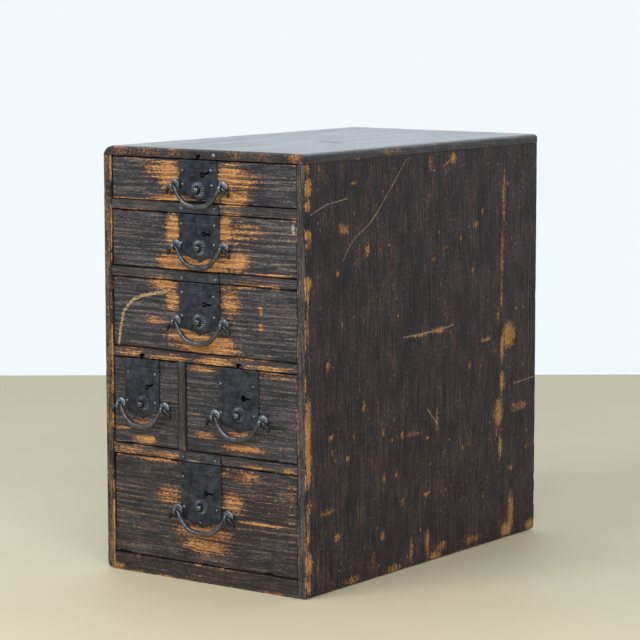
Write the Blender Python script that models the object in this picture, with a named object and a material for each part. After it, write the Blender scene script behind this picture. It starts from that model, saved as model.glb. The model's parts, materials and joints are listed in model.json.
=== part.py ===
"""A small tansu chest: a board case with six locking drawers hung with iron bails.

Metres, +Z up. The front faces -Y. The origin is the middle of the case's footprint on the floor.
"""
import math
from collections import namedtuple

import bmesh
import bpy
import numpy as np
from mathutils import Matrix, Vector

# Case
CASE_WIDTH = 0.2814
CASE_DEPTH = 0.4645
SIDE_THICK = 0.0115
TOP_THICK = 0.0110
BOTTOM_THICK = 0.0200
BACK_THICK = 0.0080
SHELF_THICK = 0.01075
DIVIDER_THICK = 0.0094
DIVIDER_SHARE = -0.1073      # the divider's middle right of the case's middle, as a share of the width
HOUSING_DEPTH = 0.0030       # how far a shelf's or the divider's edge enters its neighbour
HOUSING_STOP = 0.0180        # the housing starts this far behind the front edge
TOP_LEFT_ROUND = 0.0100      # worn roundings of the case's long edges
TOP_RIGHT_ROUND = 0.0060
FOOT_LEFT_ROUND = 0.0090
FOOT_RIGHT_ROUND = 0.0050
EDGE_ROUND = 0.0012

# Heights of the drawer openings, top row first
ROW_1_HEIGHT = 0.0484
ROW_2_HEIGHT = 0.0643
ROW_3_HEIGHT = 0.0795
ROW_4_HEIGHT = 0.0990
ROW_5_HEIGHT = 0.1148

# Drawers
FRONT_THICK = 0.0180
FRONT_RECESS = 0.0010
FRONT_SIDE_GAP = 0.0010
FRONT_TOP_GAP = 0.0012
FRONT_FOOT_GAP = 0.0008
FRONT_ROUND = 0.0015
BOX_SIDE_THICK = 0.0070
BOX_BACK_THICK = 0.0070
BOX_FLOOR_THICK = 0.0050
BOX_SIDE_GAP = 0.0013
BOX_TOP_DROP = 0.0050        # the box's rim lies this far below the front's top edge
BOX_REAR_GAP = 0.0120
FLOOR_TONGUE = 0.0040        # the box's floor enters a groove in the front
TONGUE_THICK = 0.0030

# Lock
PLATE_THICK = 0.0014
STRIP_DROP = 0.0102          # the folded strip covers this much of the plate's top
STRIP_PROUD = 0.0006
STRIP_LAP = 0.0003           # the strip's ends stand out past the plate's, and its top lies below
PLATE_SHOULDER = 0.0065      # the point hangs this far below the plate's shoulders
PLATE_CORNER = 0.0090
PLATE_CORNER_TURN = 60       # degrees of arc in a lower corner, before the sweep to the point
PLATE_SWEEP_SHARE = (0.42, 0.25)   # the sweep's middle, across and down
KEYHOLE_SHIFT = 0.0071
KEYHOLE_RADIUS = 0.0024
KEY_SLOT_LENGTH = 0.0092
KEY_SLOT_WIDTH = 0.0020
ROSETTE_RADIUS = 0.0095
ROSETTE_RISE = 0.0018
ROSETTE_RIM = 0.0003         # height of the rosette's rim in front of the plate
ROSETTE_FLUTES = 10
FLUTE_CREST = 0.0015         # height of the crests half way to the bore
FLUTE_HOLLOW = 0.0012        # height of the hollows between them
NAIL_RADIUS = 0.0016
NAIL_RISE = 0.0011
NAIL_INSET = 0.0040          # from the plate's side
NAIL_DROP = 0.0028           # upper nails below the strip
NAIL_LIFT = 0.0117           # lower nails above the plate's shoulders
BUTTON_RADIUS = 0.0039
BUTTON_PROUD = 0.0068        # the button's crown in front of the plate
BUTTON_CROWN = 0.0034
BUTTON_TRAVEL = 0.0040
BOLT_WIDTH = 0.0100
BOLT_THICK = 0.0040
BOLT_SETBACK = 0.0055        # the bolt's front behind the drawer's face
BOLT_TRAVEL = 0.0050
RAMP_SLOPE = BOLT_TRAVEL / BUTTON_TRAVEL

# Handle
POST_RADIUS = 0.0017
DOME_RADIUS = 0.0053
DOME_RISE = 0.0026
CLENCH_RADIUS = 0.0032
CLENCH_THICK = 0.0010
EYE_REACH = 0.0065           # the eye's middle in front of the drawer's face
EYE_DROP = 0.0016            # the eye's middle below the post's
EYE_HOLE_RADIUS = 0.0026
EYE_WALL = 0.0016
EYE_WIDTH = 0.0032
BAIL_NECK_RADIUS = 0.0016
BAIL_GRIP_RADIUS = 0.0027
BAIL_DROP = 0.0212
BAIL_TIP_REACH = 0.0100
BAIL_TIP_DROP = 0.0078
BAIL_TIP_CURL = 0.0015       # the tips turn back towards the drawer
BAIL_NECK_SLACK = 0.0013     # the straight neck reaches this far past its eye on both sides
# The grip from its middle to a neck: shares of the way out, of the drop and of the grip's radius
BAIL_GRIP_SHARES = ((0, 1, 1), (0.37, 0.92, 0.98), (0.62, 0.68, 0.88), (0.80, 0.30, 0.68))
# The tip from a neck to its end: shares of the reach, of the drop, of the curl and of the neck's radius
BAIL_TIP_SHARES = ((0.58, 0.25, 0.3, 1.0), (0.84, 0.62, 0.6, 0.9), (1, 1, 1, 0.75))

# Clearances
FIT_GAP = 0.0003             # between boards and fittings that touch
SLIDE_GAP = 0.0004           # around the bolt, the button and the posts
POCKET_GAP = 0.0008          # around the raised bolt in its pocket

ROUND_STEPS = 3              # facets on a rounded edge
FINE_SIDES = 12              # sides of a small round piece
NAIL_SIDES = 6
BAIL_SIDES = 8
GRIP_RINGS = 9               # rings of the bail from its middle to one neck
TIP_RINGS = 7
NAIL_STEPS = 2               # facets from the crown of a nail to its rim
DOME_STEPS = 3
SHARP_ANGLE = 35             # degrees between faces that meet in a sharp edge
TOUCH = 1e-6                 # points closer than this are one point

# One drawer: its row and column, and its fittings. Sideways places and sizes are shares of the case's
# width, counted from the opening's middle. Heights are shares of the opening's height, up from its foot,
# but down from its head for the keyhole.
Drawer = namedtuple("Drawer", "row column lock_shift plate_width point_rise rosette_rise keyhole_drop "
                              "post_rise handle_shift handle_span notched")
DRAWERS = (
    Drawer(row=1, column="all", lock_shift=-0.0160, plate_width=0.1848, point_rise=0.037,
           rosette_rise=0.308, keyhole_drop=0.347, post_rise=0.411, handle_shift=0.0053,
           handle_span=0.2381, notched=True),
    Drawer(row=2, column="all", lock_shift=-0.0121, plate_width=0.1997, point_rise=0.163,
           rosette_rise=0.412, keyhole_drop=0.345, post_rise=0.445, handle_shift=0.0053,
           handle_span=0.2345, notched=False),
    Drawer(row=3, column="all", lock_shift=-0.0142, plate_width=0.1997, point_rise=0.253,
           rosette_rise=0.449, keyhole_drop=0.304, post_rise=0.445, handle_shift=0.0053,
           handle_span=0.2381, notched=False),
    Drawer(row=4, column="left", lock_shift=-0.0160, plate_width=0.1724, point_rise=0.309,
           rosette_rise=0.477, keyhole_drop=0.325, post_rise=0.464, handle_shift=0.0053,
           handle_span=0.2239, notched=True),
    Drawer(row=4, column="right", lock_shift=-0.0082, plate_width=0.1955, point_rise=0.275,
           rosette_rise=0.475, keyhole_drop=0.331, post_rise=0.4495, handle_shift=0.0053,
           handle_span=0.2345, notched=True),
    Drawer(row=5, column="all", lock_shift=-0.0121, plate_width=0.1997, point_rise=0.363,
           rosette_rise=0.565, keyhole_drop=0.292, post_rise=0.519, handle_shift=0.0124,
           handle_span=0.2523, notched=False),
)

# Places that follow from the sizes above
ROW_HEIGHTS = (ROW_1_HEIGHT, ROW_2_HEIGHT, ROW_3_HEIGHT, ROW_4_HEIGHT, ROW_5_HEIGHT)
SHELF_COUNT = len(ROW_HEIGHTS) - 1
CASE_HEIGHT = TOP_THICK + sum(ROW_HEIGHTS) + SHELF_COUNT * SHELF_THICK + BOTTOM_THICK
HALF_WIDTH = CASE_WIDTH / 2
HALF_DEPTH = CASE_DEPTH / 2
INNER_HALF = HALF_WIDTH - SIDE_THICK
FRONT_Y = -HALF_DEPTH
FACE_Y = FRONT_Y + FRONT_RECESS
BACK_FACE_Y = HALF_DEPTH - BACK_THICK
TOP_Z = CASE_HEIGHT - TOP_THICK
PLATE_Y = FACE_Y - FIT_GAP - PLATE_THICK
DIVIDED_ROW = 4
DIVIDER_SHIFT = DIVIDER_SHARE * CASE_WIDTH


def row_span(row):
    """Foot and head of the drawer opening in a row, counted from the top."""
    head = TOP_Z - sum(ROW_HEIGHTS[:row - 1]) - (row - 1) * SHELF_THICK
    return head - ROW_HEIGHTS[row - 1], head


def column_span(column):
    """Left and right of a drawer opening."""
    left = -INNER_HALF
    right = INNER_HALF
    if column == "left":
        right = DIVIDER_SHIFT - DIVIDER_THICK / 2
    if column == "right":
        left = DIVIDER_SHIFT + DIVIDER_THICK / 2
    return left, right


def material(name, colour, roughness, metallic):
    """A Principled material with one colour."""
    made = bpy.data.materials.new(name)
    made.use_nodes = True
    shader = made.node_tree.nodes["Principled BSDF"]
    shader.inputs["Base Color"].default_value = (*colour, 1.0)
    shader.inputs["Roughness"].default_value = roughness
    shader.inputs["Metallic"].default_value = metallic
    return made


def mesh_object(name, bm):
    """Turn a bmesh into an object with its faces pointing out."""
    bmesh.ops.recalc_face_normals(bm, faces=bm.faces)
    mesh = bpy.data.meshes.new(name)
    bm.to_mesh(mesh)
    bm.free()
    made = bpy.data.objects.new(name, mesh)
    bpy.context.scene.collection.objects.link(made)
    return made


def prism(name, outline, axis, low, high):
    """Extrude a flat outline along X, Y or Z, from low to high.

    The outline's two coordinates are the other two axes in XYZ order.
    """
    places = {"X": lambda u, v: (low, u, v), "Y": lambda u, v: (u, low, v), "Z": lambda u, v: (u, v, low)}
    travel = {"X": Vector((1, 0, 0)), "Y": Vector((0, 1, 0)), "Z": Vector((0, 0, 1))}
    bm = bmesh.new()
    face = bm.faces.new([bm.verts.new(places[axis](u, v)) for u, v in outline])
    moved = bmesh.ops.extrude_face_region(bm, geom=[face])
    top = [item for item in moved["geom"] if isinstance(item, bmesh.types.BMVert)]
    bmesh.ops.translate(bm, verts=top, vec=travel[axis] * (high - low))
    return mesh_object(name, bm)


def box(name, low, high):
    """A plain block between two corners."""
    outline = ((low[0], low[1]), (high[0], low[1]), (high[0], high[1]), (low[0], high[1]))
    return prism(name, outline, "Z", low[2], high[2])


def arc(centre, radius, start, stop, steps):
    """Points of a circular arc, with its angles in degrees."""
    angles = np.radians(np.linspace(start, stop, steps + 1))
    return [(centre[0] + radius * math.cos(a), centre[1] + radius * math.sin(a)) for a in angles]


def circle(centre, radius, sides):
    """Points of a circle, once round."""
    return arc(centre, radius, 0, 360, sides)[:-1]


def turned(name, profile, centre, sides):
    """Spin a profile of (radius, y) pairs once round an axis along Y through the centre (x, z).

    The profile starts and ends on the axis.
    """
    bm = bmesh.new()
    verts = [bm.verts.new((centre[0] + radius, y, centre[1])) for radius, y in profile]
    edges = [bm.edges.new(pair) for pair in zip(verts, verts[1:])]
    bmesh.ops.spin(bm, geom=verts + edges, cent=(centre[0], 0, centre[1]), axis=(0, 1, 0),
                   angle=math.tau, steps=sides, use_merge=True)
    bmesh.ops.remove_doubles(bm, verts=bm.verts, dist=TOUCH)
    return mesh_object(name, bm)


def dome(radius, base, rise, steps):
    """Profile of a domed cap facing -Y, from its crown on the axis to its rim at y = base."""
    angles = np.linspace(math.pi / 2, 0, steps + 1)
    return [(radius * math.cos(a), base - rise * math.sin(a)) for a in angles]


def merge(target, other, operation):
    """Join another object to the target, or cut it out, and remove the other object."""
    modifier = target.modifiers.new(operation.lower(), "BOOLEAN")
    modifier.object = other
    modifier.operation = operation
    graph = bpy.context.evaluated_depsgraph_get()
    mesh = bpy.data.meshes.new_from_object(target.evaluated_get(graph))
    target.modifiers.clear()
    mesh.name = target.name
    target.data = mesh
    bpy.data.objects.remove(other)


def cut(target, *others):
    """Cut each of the other objects out of the target."""
    for other in others:
        merge(target, other, "DIFFERENCE")


def join(target, *others):
    """Join each of the other objects to the target."""
    for other in others:
        merge(target, other, "UNION")


def round_edges(target, radius, chosen):
    """Round every edge whose two ends pass the test."""
    bm = bmesh.new()
    bm.from_mesh(target.data)
    edges = [edge for edge in bm.edges if all(chosen(vert.co) for vert in edge.verts)]
    bmesh.ops.bevel(bm, geom=edges, offset=radius, offset_type="OFFSET", segments=ROUND_STEPS,
                    profile=0.5, affect="EDGES")
    bm.to_mesh(target.data)
    bm.free()


def near(value, place):
    """Whether a coordinate lies on a plane."""
    return abs(value - place) < TOUCH


def finish(made, look, origin, parent):
    """Give a piece its material, put its origin on its own reference point and parent it."""
    made.data.materials.clear()
    made.data.materials.append(look)
    made.data.transform(Matrix.Translation(-Vector(origin)))
    made.data.shade_smooth()
    made.data.set_sharp_from_angle(angle=math.radians(SHARP_ANGLE))
    made.parent = parent
    made.location = Vector(origin) - parent.location


def empty(name, place, parent):
    """A reference point that carries a body's pieces."""
    made = bpy.data.objects.new(name, None)
    bpy.context.scene.collection.objects.link(made)
    made.parent = parent
    made.location = Vector(place) - (parent.location if parent else Vector())
    return made


def shelf_cutter(shelf, end):
    """The stopped housing that one shelf needs in a side panel; end is -1 on the left, 1 on the right."""
    foot = row_span(shelf)[0] - SHELF_THICK
    inner = end * INNER_HALF
    deep = end * (INNER_HALF + HOUSING_DEPTH)
    low = (min(inner - end * FIT_GAP, deep), FRONT_Y + HOUSING_STOP - FIT_GAP, foot - FIT_GAP)
    high = (max(inner - end * FIT_GAP, deep), BACK_FACE_Y, foot + SHELF_THICK + FIT_GAP)
    return box("housing", low, high)


def side_panel(name, end, foot_round, look, root):
    """A side panel, full depth, from the floor to the top board, housed for the shelves."""
    outer = end * HALF_WIDTH
    inner = end * INNER_HALF
    head = TOP_Z - FIT_GAP
    outline = [(inner, 0), (inner, head), (outer, head)]
    start = 180 if end < 0 else 0
    stop = 270 if end < 0 else -90
    outline += arc((outer - end * foot_round, foot_round), foot_round, start, stop, ROUND_STEPS)
    panel = prism(name, outline, "Y", -HALF_DEPTH, HALF_DEPTH)
    for shelf in range(1, SHELF_COUNT + 1):
        cut(panel, shelf_cutter(shelf, end))
    finish(panel, look, (end * (INNER_HALF + SIDE_THICK / 2), 0, 0), root)


def top_board(look, root):
    """The top board laps over both sides; its ends are rounded, more on the left."""
    left = TOP_LEFT_ROUND
    right = TOP_RIGHT_ROUND
    outline = [(-HALF_WIDTH, TOP_Z), (HALF_WIDTH, TOP_Z)]
    outline += arc((HALF_WIDTH - right, CASE_HEIGHT - right), right, 0, 90, ROUND_STEPS)
    outline += arc((left - HALF_WIDTH, CASE_HEIGHT - left), left, 90, 180, ROUND_STEPS)
    board = prism("top_board", outline, "Y", -HALF_DEPTH, HALF_DEPTH)
    cut_pockets(board, 1)
    finish(board, look, (0, 0, TOP_Z), root)


def bolt_place(drawer):
    """Middle of a drawer's bolt, left to right and front to back."""
    left, right = column_span(drawer.column)
    middle = (left + right) / 2
    return middle + drawer.lock_shift * CASE_WIDTH, FACE_Y + BOLT_SETBACK + BOLT_THICK / 2


def cut_pockets(board, row):
    """Cut the pockets that the bolts of one row of drawers rise into.

    Where the keeper plate is lost the pocket shows as a notch, open to the front.
    """
    head = row_span(row)[1]
    depth = BOLT_TRAVEL - FRONT_TOP_GAP + POCKET_GAP
    for drawer in DRAWERS:
        if drawer.row != row:
            continue
        x, y = bolt_place(drawer)
        reach = BOLT_WIDTH / 2 + POCKET_GAP
        rear = y + BOLT_THICK / 2 + POCKET_GAP
        front = y - BOLT_THICK / 2 - POCKET_GAP
        if drawer.notched:
            front = FRONT_Y - FIT_GAP
        cut(board, box("pocket", (x - reach, front, head - FIT_GAP), (x + reach, rear, head + depth)))


def divider_groove(low, high):
    """The stopped groove that takes the divider's upper or lower edge."""
    reach = DIVIDER_THICK / 2 + FIT_GAP
    return box("groove", (DIVIDER_SHIFT - reach, FRONT_Y + HOUSING_STOP - FIT_GAP, low),
               (DIVIDER_SHIFT + reach, BACK_FACE_Y, high))


def shelf(number, look, root):
    """A full-depth shelf: its front edge is a rail, its ends enter the side panels behind the front."""
    foot = row_span(number)[0] - SHELF_THICK
    head = foot + SHELF_THICK
    rear = BACK_FACE_Y - FIT_GAP
    short = INNER_HALF - FIT_GAP
    long = INNER_HALF + HOUSING_DEPTH - FIT_GAP
    stop = FRONT_Y + HOUSING_STOP
    outline = ((-short, FRONT_Y), (short, FRONT_Y), (short, stop), (long, stop), (long, rear),
               (-long, rear), (-long, stop), (-short, stop))
    board = prism(f"shelf_{number}", outline, "Z", foot, head)
    cut_pockets(board, number + 1)
    if number == DIVIDED_ROW:
        cut(board, divider_groove(head - HOUSING_DEPTH, head + FIT_GAP))
    if number + 1 == DIVIDED_ROW:
        cut(board, divider_groove(foot - FIT_GAP, foot + HOUSING_DEPTH))
    finish(board, look, (0, 0, foot), root)


def divider(look, root):
    """The upright between drawers 4 and 5, let into the shelves above and below behind its front."""
    foot, head = row_span(DIVIDED_ROW)
    stop = FRONT_Y + HOUSING_STOP
    rear = BACK_FACE_Y - FIT_GAP
    deep = HOUSING_DEPTH - FIT_GAP
    outline = ((FRONT_Y, foot + FIT_GAP), (stop, foot + FIT_GAP), (stop, foot - deep), (rear, foot - deep),
               (rear, head + deep), (stop, head + deep), (stop, head - FIT_GAP), (FRONT_Y, head - FIT_GAP))
    board = prism("divider", outline, "X", DIVIDER_SHIFT - DIVIDER_THICK / 2,
                  DIVIDER_SHIFT + DIVIDER_THICK / 2)
    finish(board, look, (DIVIDER_SHIFT, 0, foot), root)


def build_case(wood, raw_wood, root):
    """The ten boards of the case."""
    side_panel("left_side_panel", -1, FOOT_LEFT_ROUND, wood, root)
    side_panel("right_side_panel", 1, FOOT_RIGHT_ROUND, wood, root)
    top_board(wood, root)
    reach = INNER_HALF - FIT_GAP
    bottom = box("bottom_board", (-reach, -HALF_DEPTH, 0), (reach, HALF_DEPTH, BOTTOM_THICK))
    round_edges(bottom, EDGE_ROUND, lambda p: near(p.y, -HALF_DEPTH) and near(p.z, BOTTOM_THICK))
    finish(bottom, wood, (0, 0, 0), root)
    back = box("back_panel", (-reach, BACK_FACE_Y, BOTTOM_THICK + FIT_GAP),
               (reach, HALF_DEPTH, TOP_Z - FIT_GAP))
    finish(back, raw_wood, (0, BACK_FACE_Y, BOTTOM_THICK), root)
    for number in range(1, SHELF_COUNT + 1):
        shelf(number, wood, root)
    divider(wood, root)


class DrawerPlaces:
    """Where one drawer's pieces lie."""

    def __init__(self, drawer):
        self.foot, self.head = row_span(drawer.row)
        height = self.head - self.foot
        self.left, self.right = column_span(drawer.column)
        self.low_x = self.left + FRONT_SIDE_GAP
        self.high_x = self.right - FRONT_SIDE_GAP
        self.low_z = self.foot + FRONT_FOOT_GAP
        self.high_z = self.head - FRONT_TOP_GAP
        self.rear_y = FACE_Y + FRONT_THICK
        self.lock_x, self.bolt_y = bolt_place(drawer)
        self.button_z = self.foot + drawer.rosette_rise * height
        self.keyhole_x = self.lock_x + KEYHOLE_SHIFT
        self.keyhole_z = self.head - drawer.keyhole_drop * height
        self.point_z = self.foot + drawer.point_rise * height
        self.plate_half = drawer.plate_width * CASE_WIDTH / 2
        self.post_z = self.foot + drawer.post_rise * height
        self.handle_x = self.lock_x + drawer.handle_shift * CASE_WIDTH
        self.handle_half = drawer.handle_span * CASE_WIDTH / 2
        self.post_x = (self.handle_x - self.handle_half, self.handle_x + self.handle_half)
        self.eye_y = FACE_Y - EYE_REACH
        self.eye_z = self.post_z - EYE_DROP
        self.bail_z = self.eye_z - (EYE_HOLE_RADIUS - BAIL_NECK_RADIUS - FIT_GAP)
        self.tongue_z = self.foot + FIT_GAP + BOX_FLOOR_THICK - TONGUE_THICK


def ramp_outline(places, lift, far):
    """Half plane above or below the ramp between the button and the bolt, as a flat (y, z) outline.

    The ramp passes through the bolt's middle at the button's height, and falls towards the rear.
    """
    run = FRONT_THICK
    rise = run * RAMP_SLOPE
    middle = places.button_z + lift
    return ((places.bolt_y - run, middle + rise), (places.bolt_y + run, middle - rise),
            (places.bolt_y + run, far), (places.bolt_y - run, far))


def drawer_front(name, places, look, carrier):
    """The front board: bored for the posts and the button, slotted for the bolt, grooved for the floor."""
    front = box(name, (places.low_x, FACE_Y, places.low_z), (places.high_x, places.rear_y, places.high_z))
    round_edges(front, FRONT_ROUND, lambda p: near(p.y, FACE_Y))
    through = (FACE_Y - FIT_GAP, places.rear_y + FIT_GAP)
    for x in places.post_x:
        hole = circle((x, places.post_z), POST_RADIUS + SLIDE_GAP, NAIL_SIDES)
        cut(front, prism("hole", hole, "Y", *through))
    half = BOLT_WIDTH / 2 + SLIDE_GAP
    slot_foot = places.button_z - BUTTON_RADIUS - SLIDE_GAP
    slot_front = FACE_Y + BOLT_SETBACK - SLIDE_GAP
    slot_rear = FACE_Y + BOLT_SETBACK + BOLT_THICK + SLIDE_GAP
    cut(front, box("slot", (places.lock_x - half, slot_front, slot_foot),
                   (places.lock_x + half, slot_rear, places.high_z + FIT_GAP)))
    bore_end = places.bolt_y + BUTTON_RADIUS / RAMP_SLOPE + BUTTON_TRAVEL + SLIDE_GAP
    bore = circle((places.lock_x, places.button_z), BUTTON_RADIUS + SLIDE_GAP, FINE_SIDES)
    cut(front, prism("bore", bore, "Y", FACE_Y - FIT_GAP, bore_end))
    keyway = circle((places.keyhole_x, places.keyhole_z), KEYHOLE_RADIUS, NAIL_SIDES)
    cut(front, prism("keyway", keyway, "Y", FACE_Y - FIT_GAP, places.bolt_y))
    groove_low = places.tongue_z - FIT_GAP
    groove_high = places.tongue_z + TONGUE_THICK + FIT_GAP
    cut(front, box("groove", (places.low_x + BOX_SIDE_THICK, places.rear_y - FLOOR_TONGUE, groove_low),
                   (places.high_x - BOX_SIDE_THICK, places.rear_y + FIT_GAP, groove_high)))
    finish(front, look, (places.lock_x, FACE_Y, places.button_z), carrier)


def drawer_box(name, places, look, carrier):
    """The box behind the front: two sides, a back, and a floor whose tongue enters the front's groove."""
    low_x = places.left + BOX_SIDE_GAP
    high_x = places.right - BOX_SIDE_GAP
    near_y = places.rear_y + FIT_GAP
    far_y = BACK_FACE_Y - BOX_REAR_GAP
    low_z = places.foot + FIT_GAP
    high_z = places.high_z - BOX_TOP_DROP
    tray = box(name, (low_x, near_y, low_z), (high_x, far_y, high_z))
    cut(tray, box("room", (low_x + BOX_SIDE_THICK, near_y - FIT_GAP, low_z + BOX_FLOOR_THICK),
                  (high_x - BOX_SIDE_THICK, far_y - BOX_BACK_THICK, high_z + FIT_GAP)))
    tongue_low_x = places.low_x + BOX_SIDE_THICK + FIT_GAP
    tongue_high_x = places.high_x - BOX_SIDE_THICK - FIT_GAP
    tongue_near = places.rear_y - FLOOR_TONGUE + FIT_GAP
    join(tray, box("tongue", (tongue_low_x, tongue_near, places.tongue_z),
                   (tongue_high_x, near_y + BOX_SIDE_THICK, places.tongue_z + TONGUE_THICK)))
    finish(tray, look, ((low_x + high_x) / 2, near_y, low_z), carrier)


def plate_outline(places):
    """The lock plate's outline: square at the top, with round lower corners swept down to a point."""
    half = places.plate_half
    shoulder = places.point_z + PLATE_SHOULDER
    corner = PLATE_CORNER
    right = arc((half - corner, shoulder + corner), corner, 0, -PLATE_CORNER_TURN, ROUND_STEPS)
    across, down = PLATE_SWEEP_SHARE
    middle = (right[-1][0] * across, shoulder - PLATE_SHOULDER * down)
    lower = [(half, places.high_z)] + right + [middle, (0, places.point_z)]
    mirrored = [(-x, z) for x, z in reversed(lower[:-1])]
    return [(places.lock_x + x, z) for x, z in lower + mirrored]


def rosette(places):
    """A domed, fluted ring that rises from its rim to the button's bore."""
    sides = ROSETTE_FLUTES * 2
    bm = bmesh.new()
    angles = np.arange(sides) * math.tau / sides
    flutes = np.where(np.arange(sides) % 2 == 0, FLUTE_CREST, FLUTE_HOLLOW)
    level = np.ones(sides)
    bore = BUTTON_RADIUS + SLIDE_GAP / 2
    middle = (ROSETTE_RADIUS + bore) / 2
    sunk = -PLATE_THICK / 2
    rings = ((ROSETTE_RADIUS, sunk * level), (ROSETTE_RADIUS, ROSETTE_RIM * level), (middle, flutes),
             (bore, ROSETTE_RISE * level), (bore, sunk * level))
    loops = []
    for radius, rises in rings:
        x = places.lock_x + radius * np.cos(angles)
        z = places.button_z + radius * np.sin(angles)
        loops.append([bm.verts.new(point) for point in zip(x, PLATE_Y - rises, z)])
    for first, second in zip(loops, loops[1:] + loops[:1]):
        for k in range(sides):
            n = (k + 1) % sides
            bm.faces.new((first[k], first[n], second[n], second[k]))
    return mesh_object("rosette", bm)


def lock_plate(name, places, look, carrier):
    """The lock plate with its folded strip, fluted rosette and four nails, pierced for key and button."""
    plate = prism(name, plate_outline(places), "Y", PLATE_Y, FACE_Y - FIT_GAP)
    half = places.plate_half
    strip_foot = places.high_z - STRIP_DROP
    strip = box("strip", (places.lock_x - half - STRIP_LAP, PLATE_Y - STRIP_PROUD, strip_foot),
                (places.lock_x + half + STRIP_LAP, PLATE_Y + PLATE_THICK / 2, places.high_z - STRIP_LAP))
    join(plate, strip, rosette(places))
    nail_x = half - NAIL_INSET
    upper = strip_foot - NAIL_DROP
    lower = places.point_z + PLATE_SHOULDER + NAIL_LIFT
    sunk = PLATE_Y + PLATE_THICK / 2
    profile = dome(NAIL_RADIUS, PLATE_Y, NAIL_RISE, NAIL_STEPS) + [(NAIL_RADIUS, sunk), (0, sunk)]
    for x in (-nail_x, nail_x):
        for z in (upper, lower):
            join(plate, turned("nail", profile, (places.lock_x + x, z), NAIL_SIDES))
    deep = (PLATE_Y - ROSETTE_RISE * 2, FACE_Y)
    bore = circle((places.lock_x, places.button_z), BUTTON_RADIUS + SLIDE_GAP, FINE_SIDES)
    keyhole = circle((places.keyhole_x, places.keyhole_z), KEYHOLE_RADIUS, FINE_SIDES)
    slot = box("slot", (places.keyhole_x, deep[0], places.keyhole_z - KEY_SLOT_WIDTH / 2),
               (places.keyhole_x + KEY_SLOT_LENGTH, deep[1], places.keyhole_z + KEY_SLOT_WIDTH / 2))
    cut(plate, prism("bore", bore, "Y", *deep), prism("keyhole", keyhole, "Y", *deep), slot)
    finish(plate, look, (places.lock_x, PLATE_Y, places.button_z), carrier)


def post(name, x, places, look, carrier):
    """A post: an eye in front of a domed washer, and a shank clenched behind the drawer's front."""
    dome_y = PLATE_Y - FIT_GAP
    clench_y = places.rear_y + FIT_GAP
    profile = dome(DOME_RADIUS, dome_y, DOME_RISE, DOME_STEPS)
    profile += [(POST_RADIUS, dome_y), (POST_RADIUS, clench_y), (CLENCH_RADIUS, clench_y),
                (CLENCH_RADIUS, clench_y + CLENCH_THICK), (0, clench_y + CLENCH_THICK)]
    stem = turned(name, profile, (x, places.post_z), FINE_SIDES)
    centre = (places.eye_y, places.eye_z)
    ring = circle(centre, EYE_HOLE_RADIUS + EYE_WALL, FINE_SIDES)
    hole = circle(centre, EYE_HOLE_RADIUS, FINE_SIDES)
    join(stem, prism("eye", ring, "X", x - EYE_WIDTH / 2, x + EYE_WIDTH / 2))
    cut(stem, prism("hole", hole, "X", x - DOME_RADIUS * 2, x + DOME_RADIUS * 2))
    finish(stem, look, (x, FACE_Y, places.post_z), carrier)


def smooth_curve(points, count):
    """Points spaced along a Catmull-Rom curve through the given points."""
    given = np.array(points)
    padded = np.vstack((2 * given[0] - given[1], given, 2 * given[-1] - given[-2]))
    at = np.linspace(0, len(given) - 1, count)
    k = np.minimum(at.astype(int), len(given) - 2)
    t = (at - k)[:, None]
    a, b, c, d = padded[k], padded[k + 1], padded[k + 2], padded[k + 3]
    curved = (2 * a - 5 * b + 4 * c - d) * t ** 2 + (3 * b - a - 3 * c + d) * t ** 3
    return b + ((c - a) * t + curved) / 2


def bail_path(eye):
    """Middle line and radius of the bail, tip to tip: rows of x, y, z, radius about its hinge axis.

    The eyes lie at x = -eye and eye. From the middle the grip curves up to a straight neck in each eye,
    past which the tip droops outwards.
    """
    slack = EYE_WIDTH / 2 + BAIL_NECK_SLACK
    grip = [(eye * out, 0, -BAIL_DROP * drop, BAIL_GRIP_RADIUS * thick)
            for out, drop, thick in BAIL_GRIP_SHARES]
    grip.append((eye - slack, 0, 0, BAIL_NECK_RADIUS))
    tip = [(eye + slack, 0, 0, BAIL_NECK_RADIUS)]
    for out, drop, curl, thick in BAIL_TIP_SHARES:
        tip.append((eye + BAIL_TIP_REACH * out, BAIL_TIP_CURL * curl, -BAIL_TIP_DROP * drop,
                    BAIL_NECK_RADIUS * thick))
    right = np.vstack((smooth_curve(grip, GRIP_RINGS), smooth_curve(tip, TIP_RINGS)))
    left = right[:0:-1] * np.array((-1, 1, 1, 1))
    return np.vstack((left, right))


def bail(name, places, look, carrier):
    """The bail: a round bar swept along its path, thick at the grip and thin at the necks and tips."""
    path = bail_path(places.handle_half)
    middle = path[:, :3]
    along = np.gradient(middle, axis=0)
    along /= np.linalg.norm(along, axis=1)[:, None]
    out = np.array((0, 1, 0)) - along * along[:, 1:2]
    out /= np.linalg.norm(out, axis=1)[:, None]
    up = np.cross(along, out)
    turn = np.arange(BAIL_SIDES) * math.tau / BAIL_SIDES
    rings = (middle[:, None] + path[:, 3, None, None]
             * (np.cos(turn)[:, None] * out[:, None] + np.sin(turn)[:, None] * up[:, None]))
    bm = bmesh.new()
    place = np.array((places.handle_x, places.eye_y, places.bail_z))
    loops = [[bm.verts.new(point) for point in ring + place] for ring in rings]
    for first, second in zip(loops, loops[1:]):
        for k in range(BAIL_SIDES):
            n = (k + 1) % BAIL_SIDES
            bm.faces.new((first[k], first[n], second[n], second[k]))
    bm.faces.new(loops[0])
    bm.faces.new(loops[-1])
    made = mesh_object(name, bm)
    finish(made, look, place, carrier)


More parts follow.
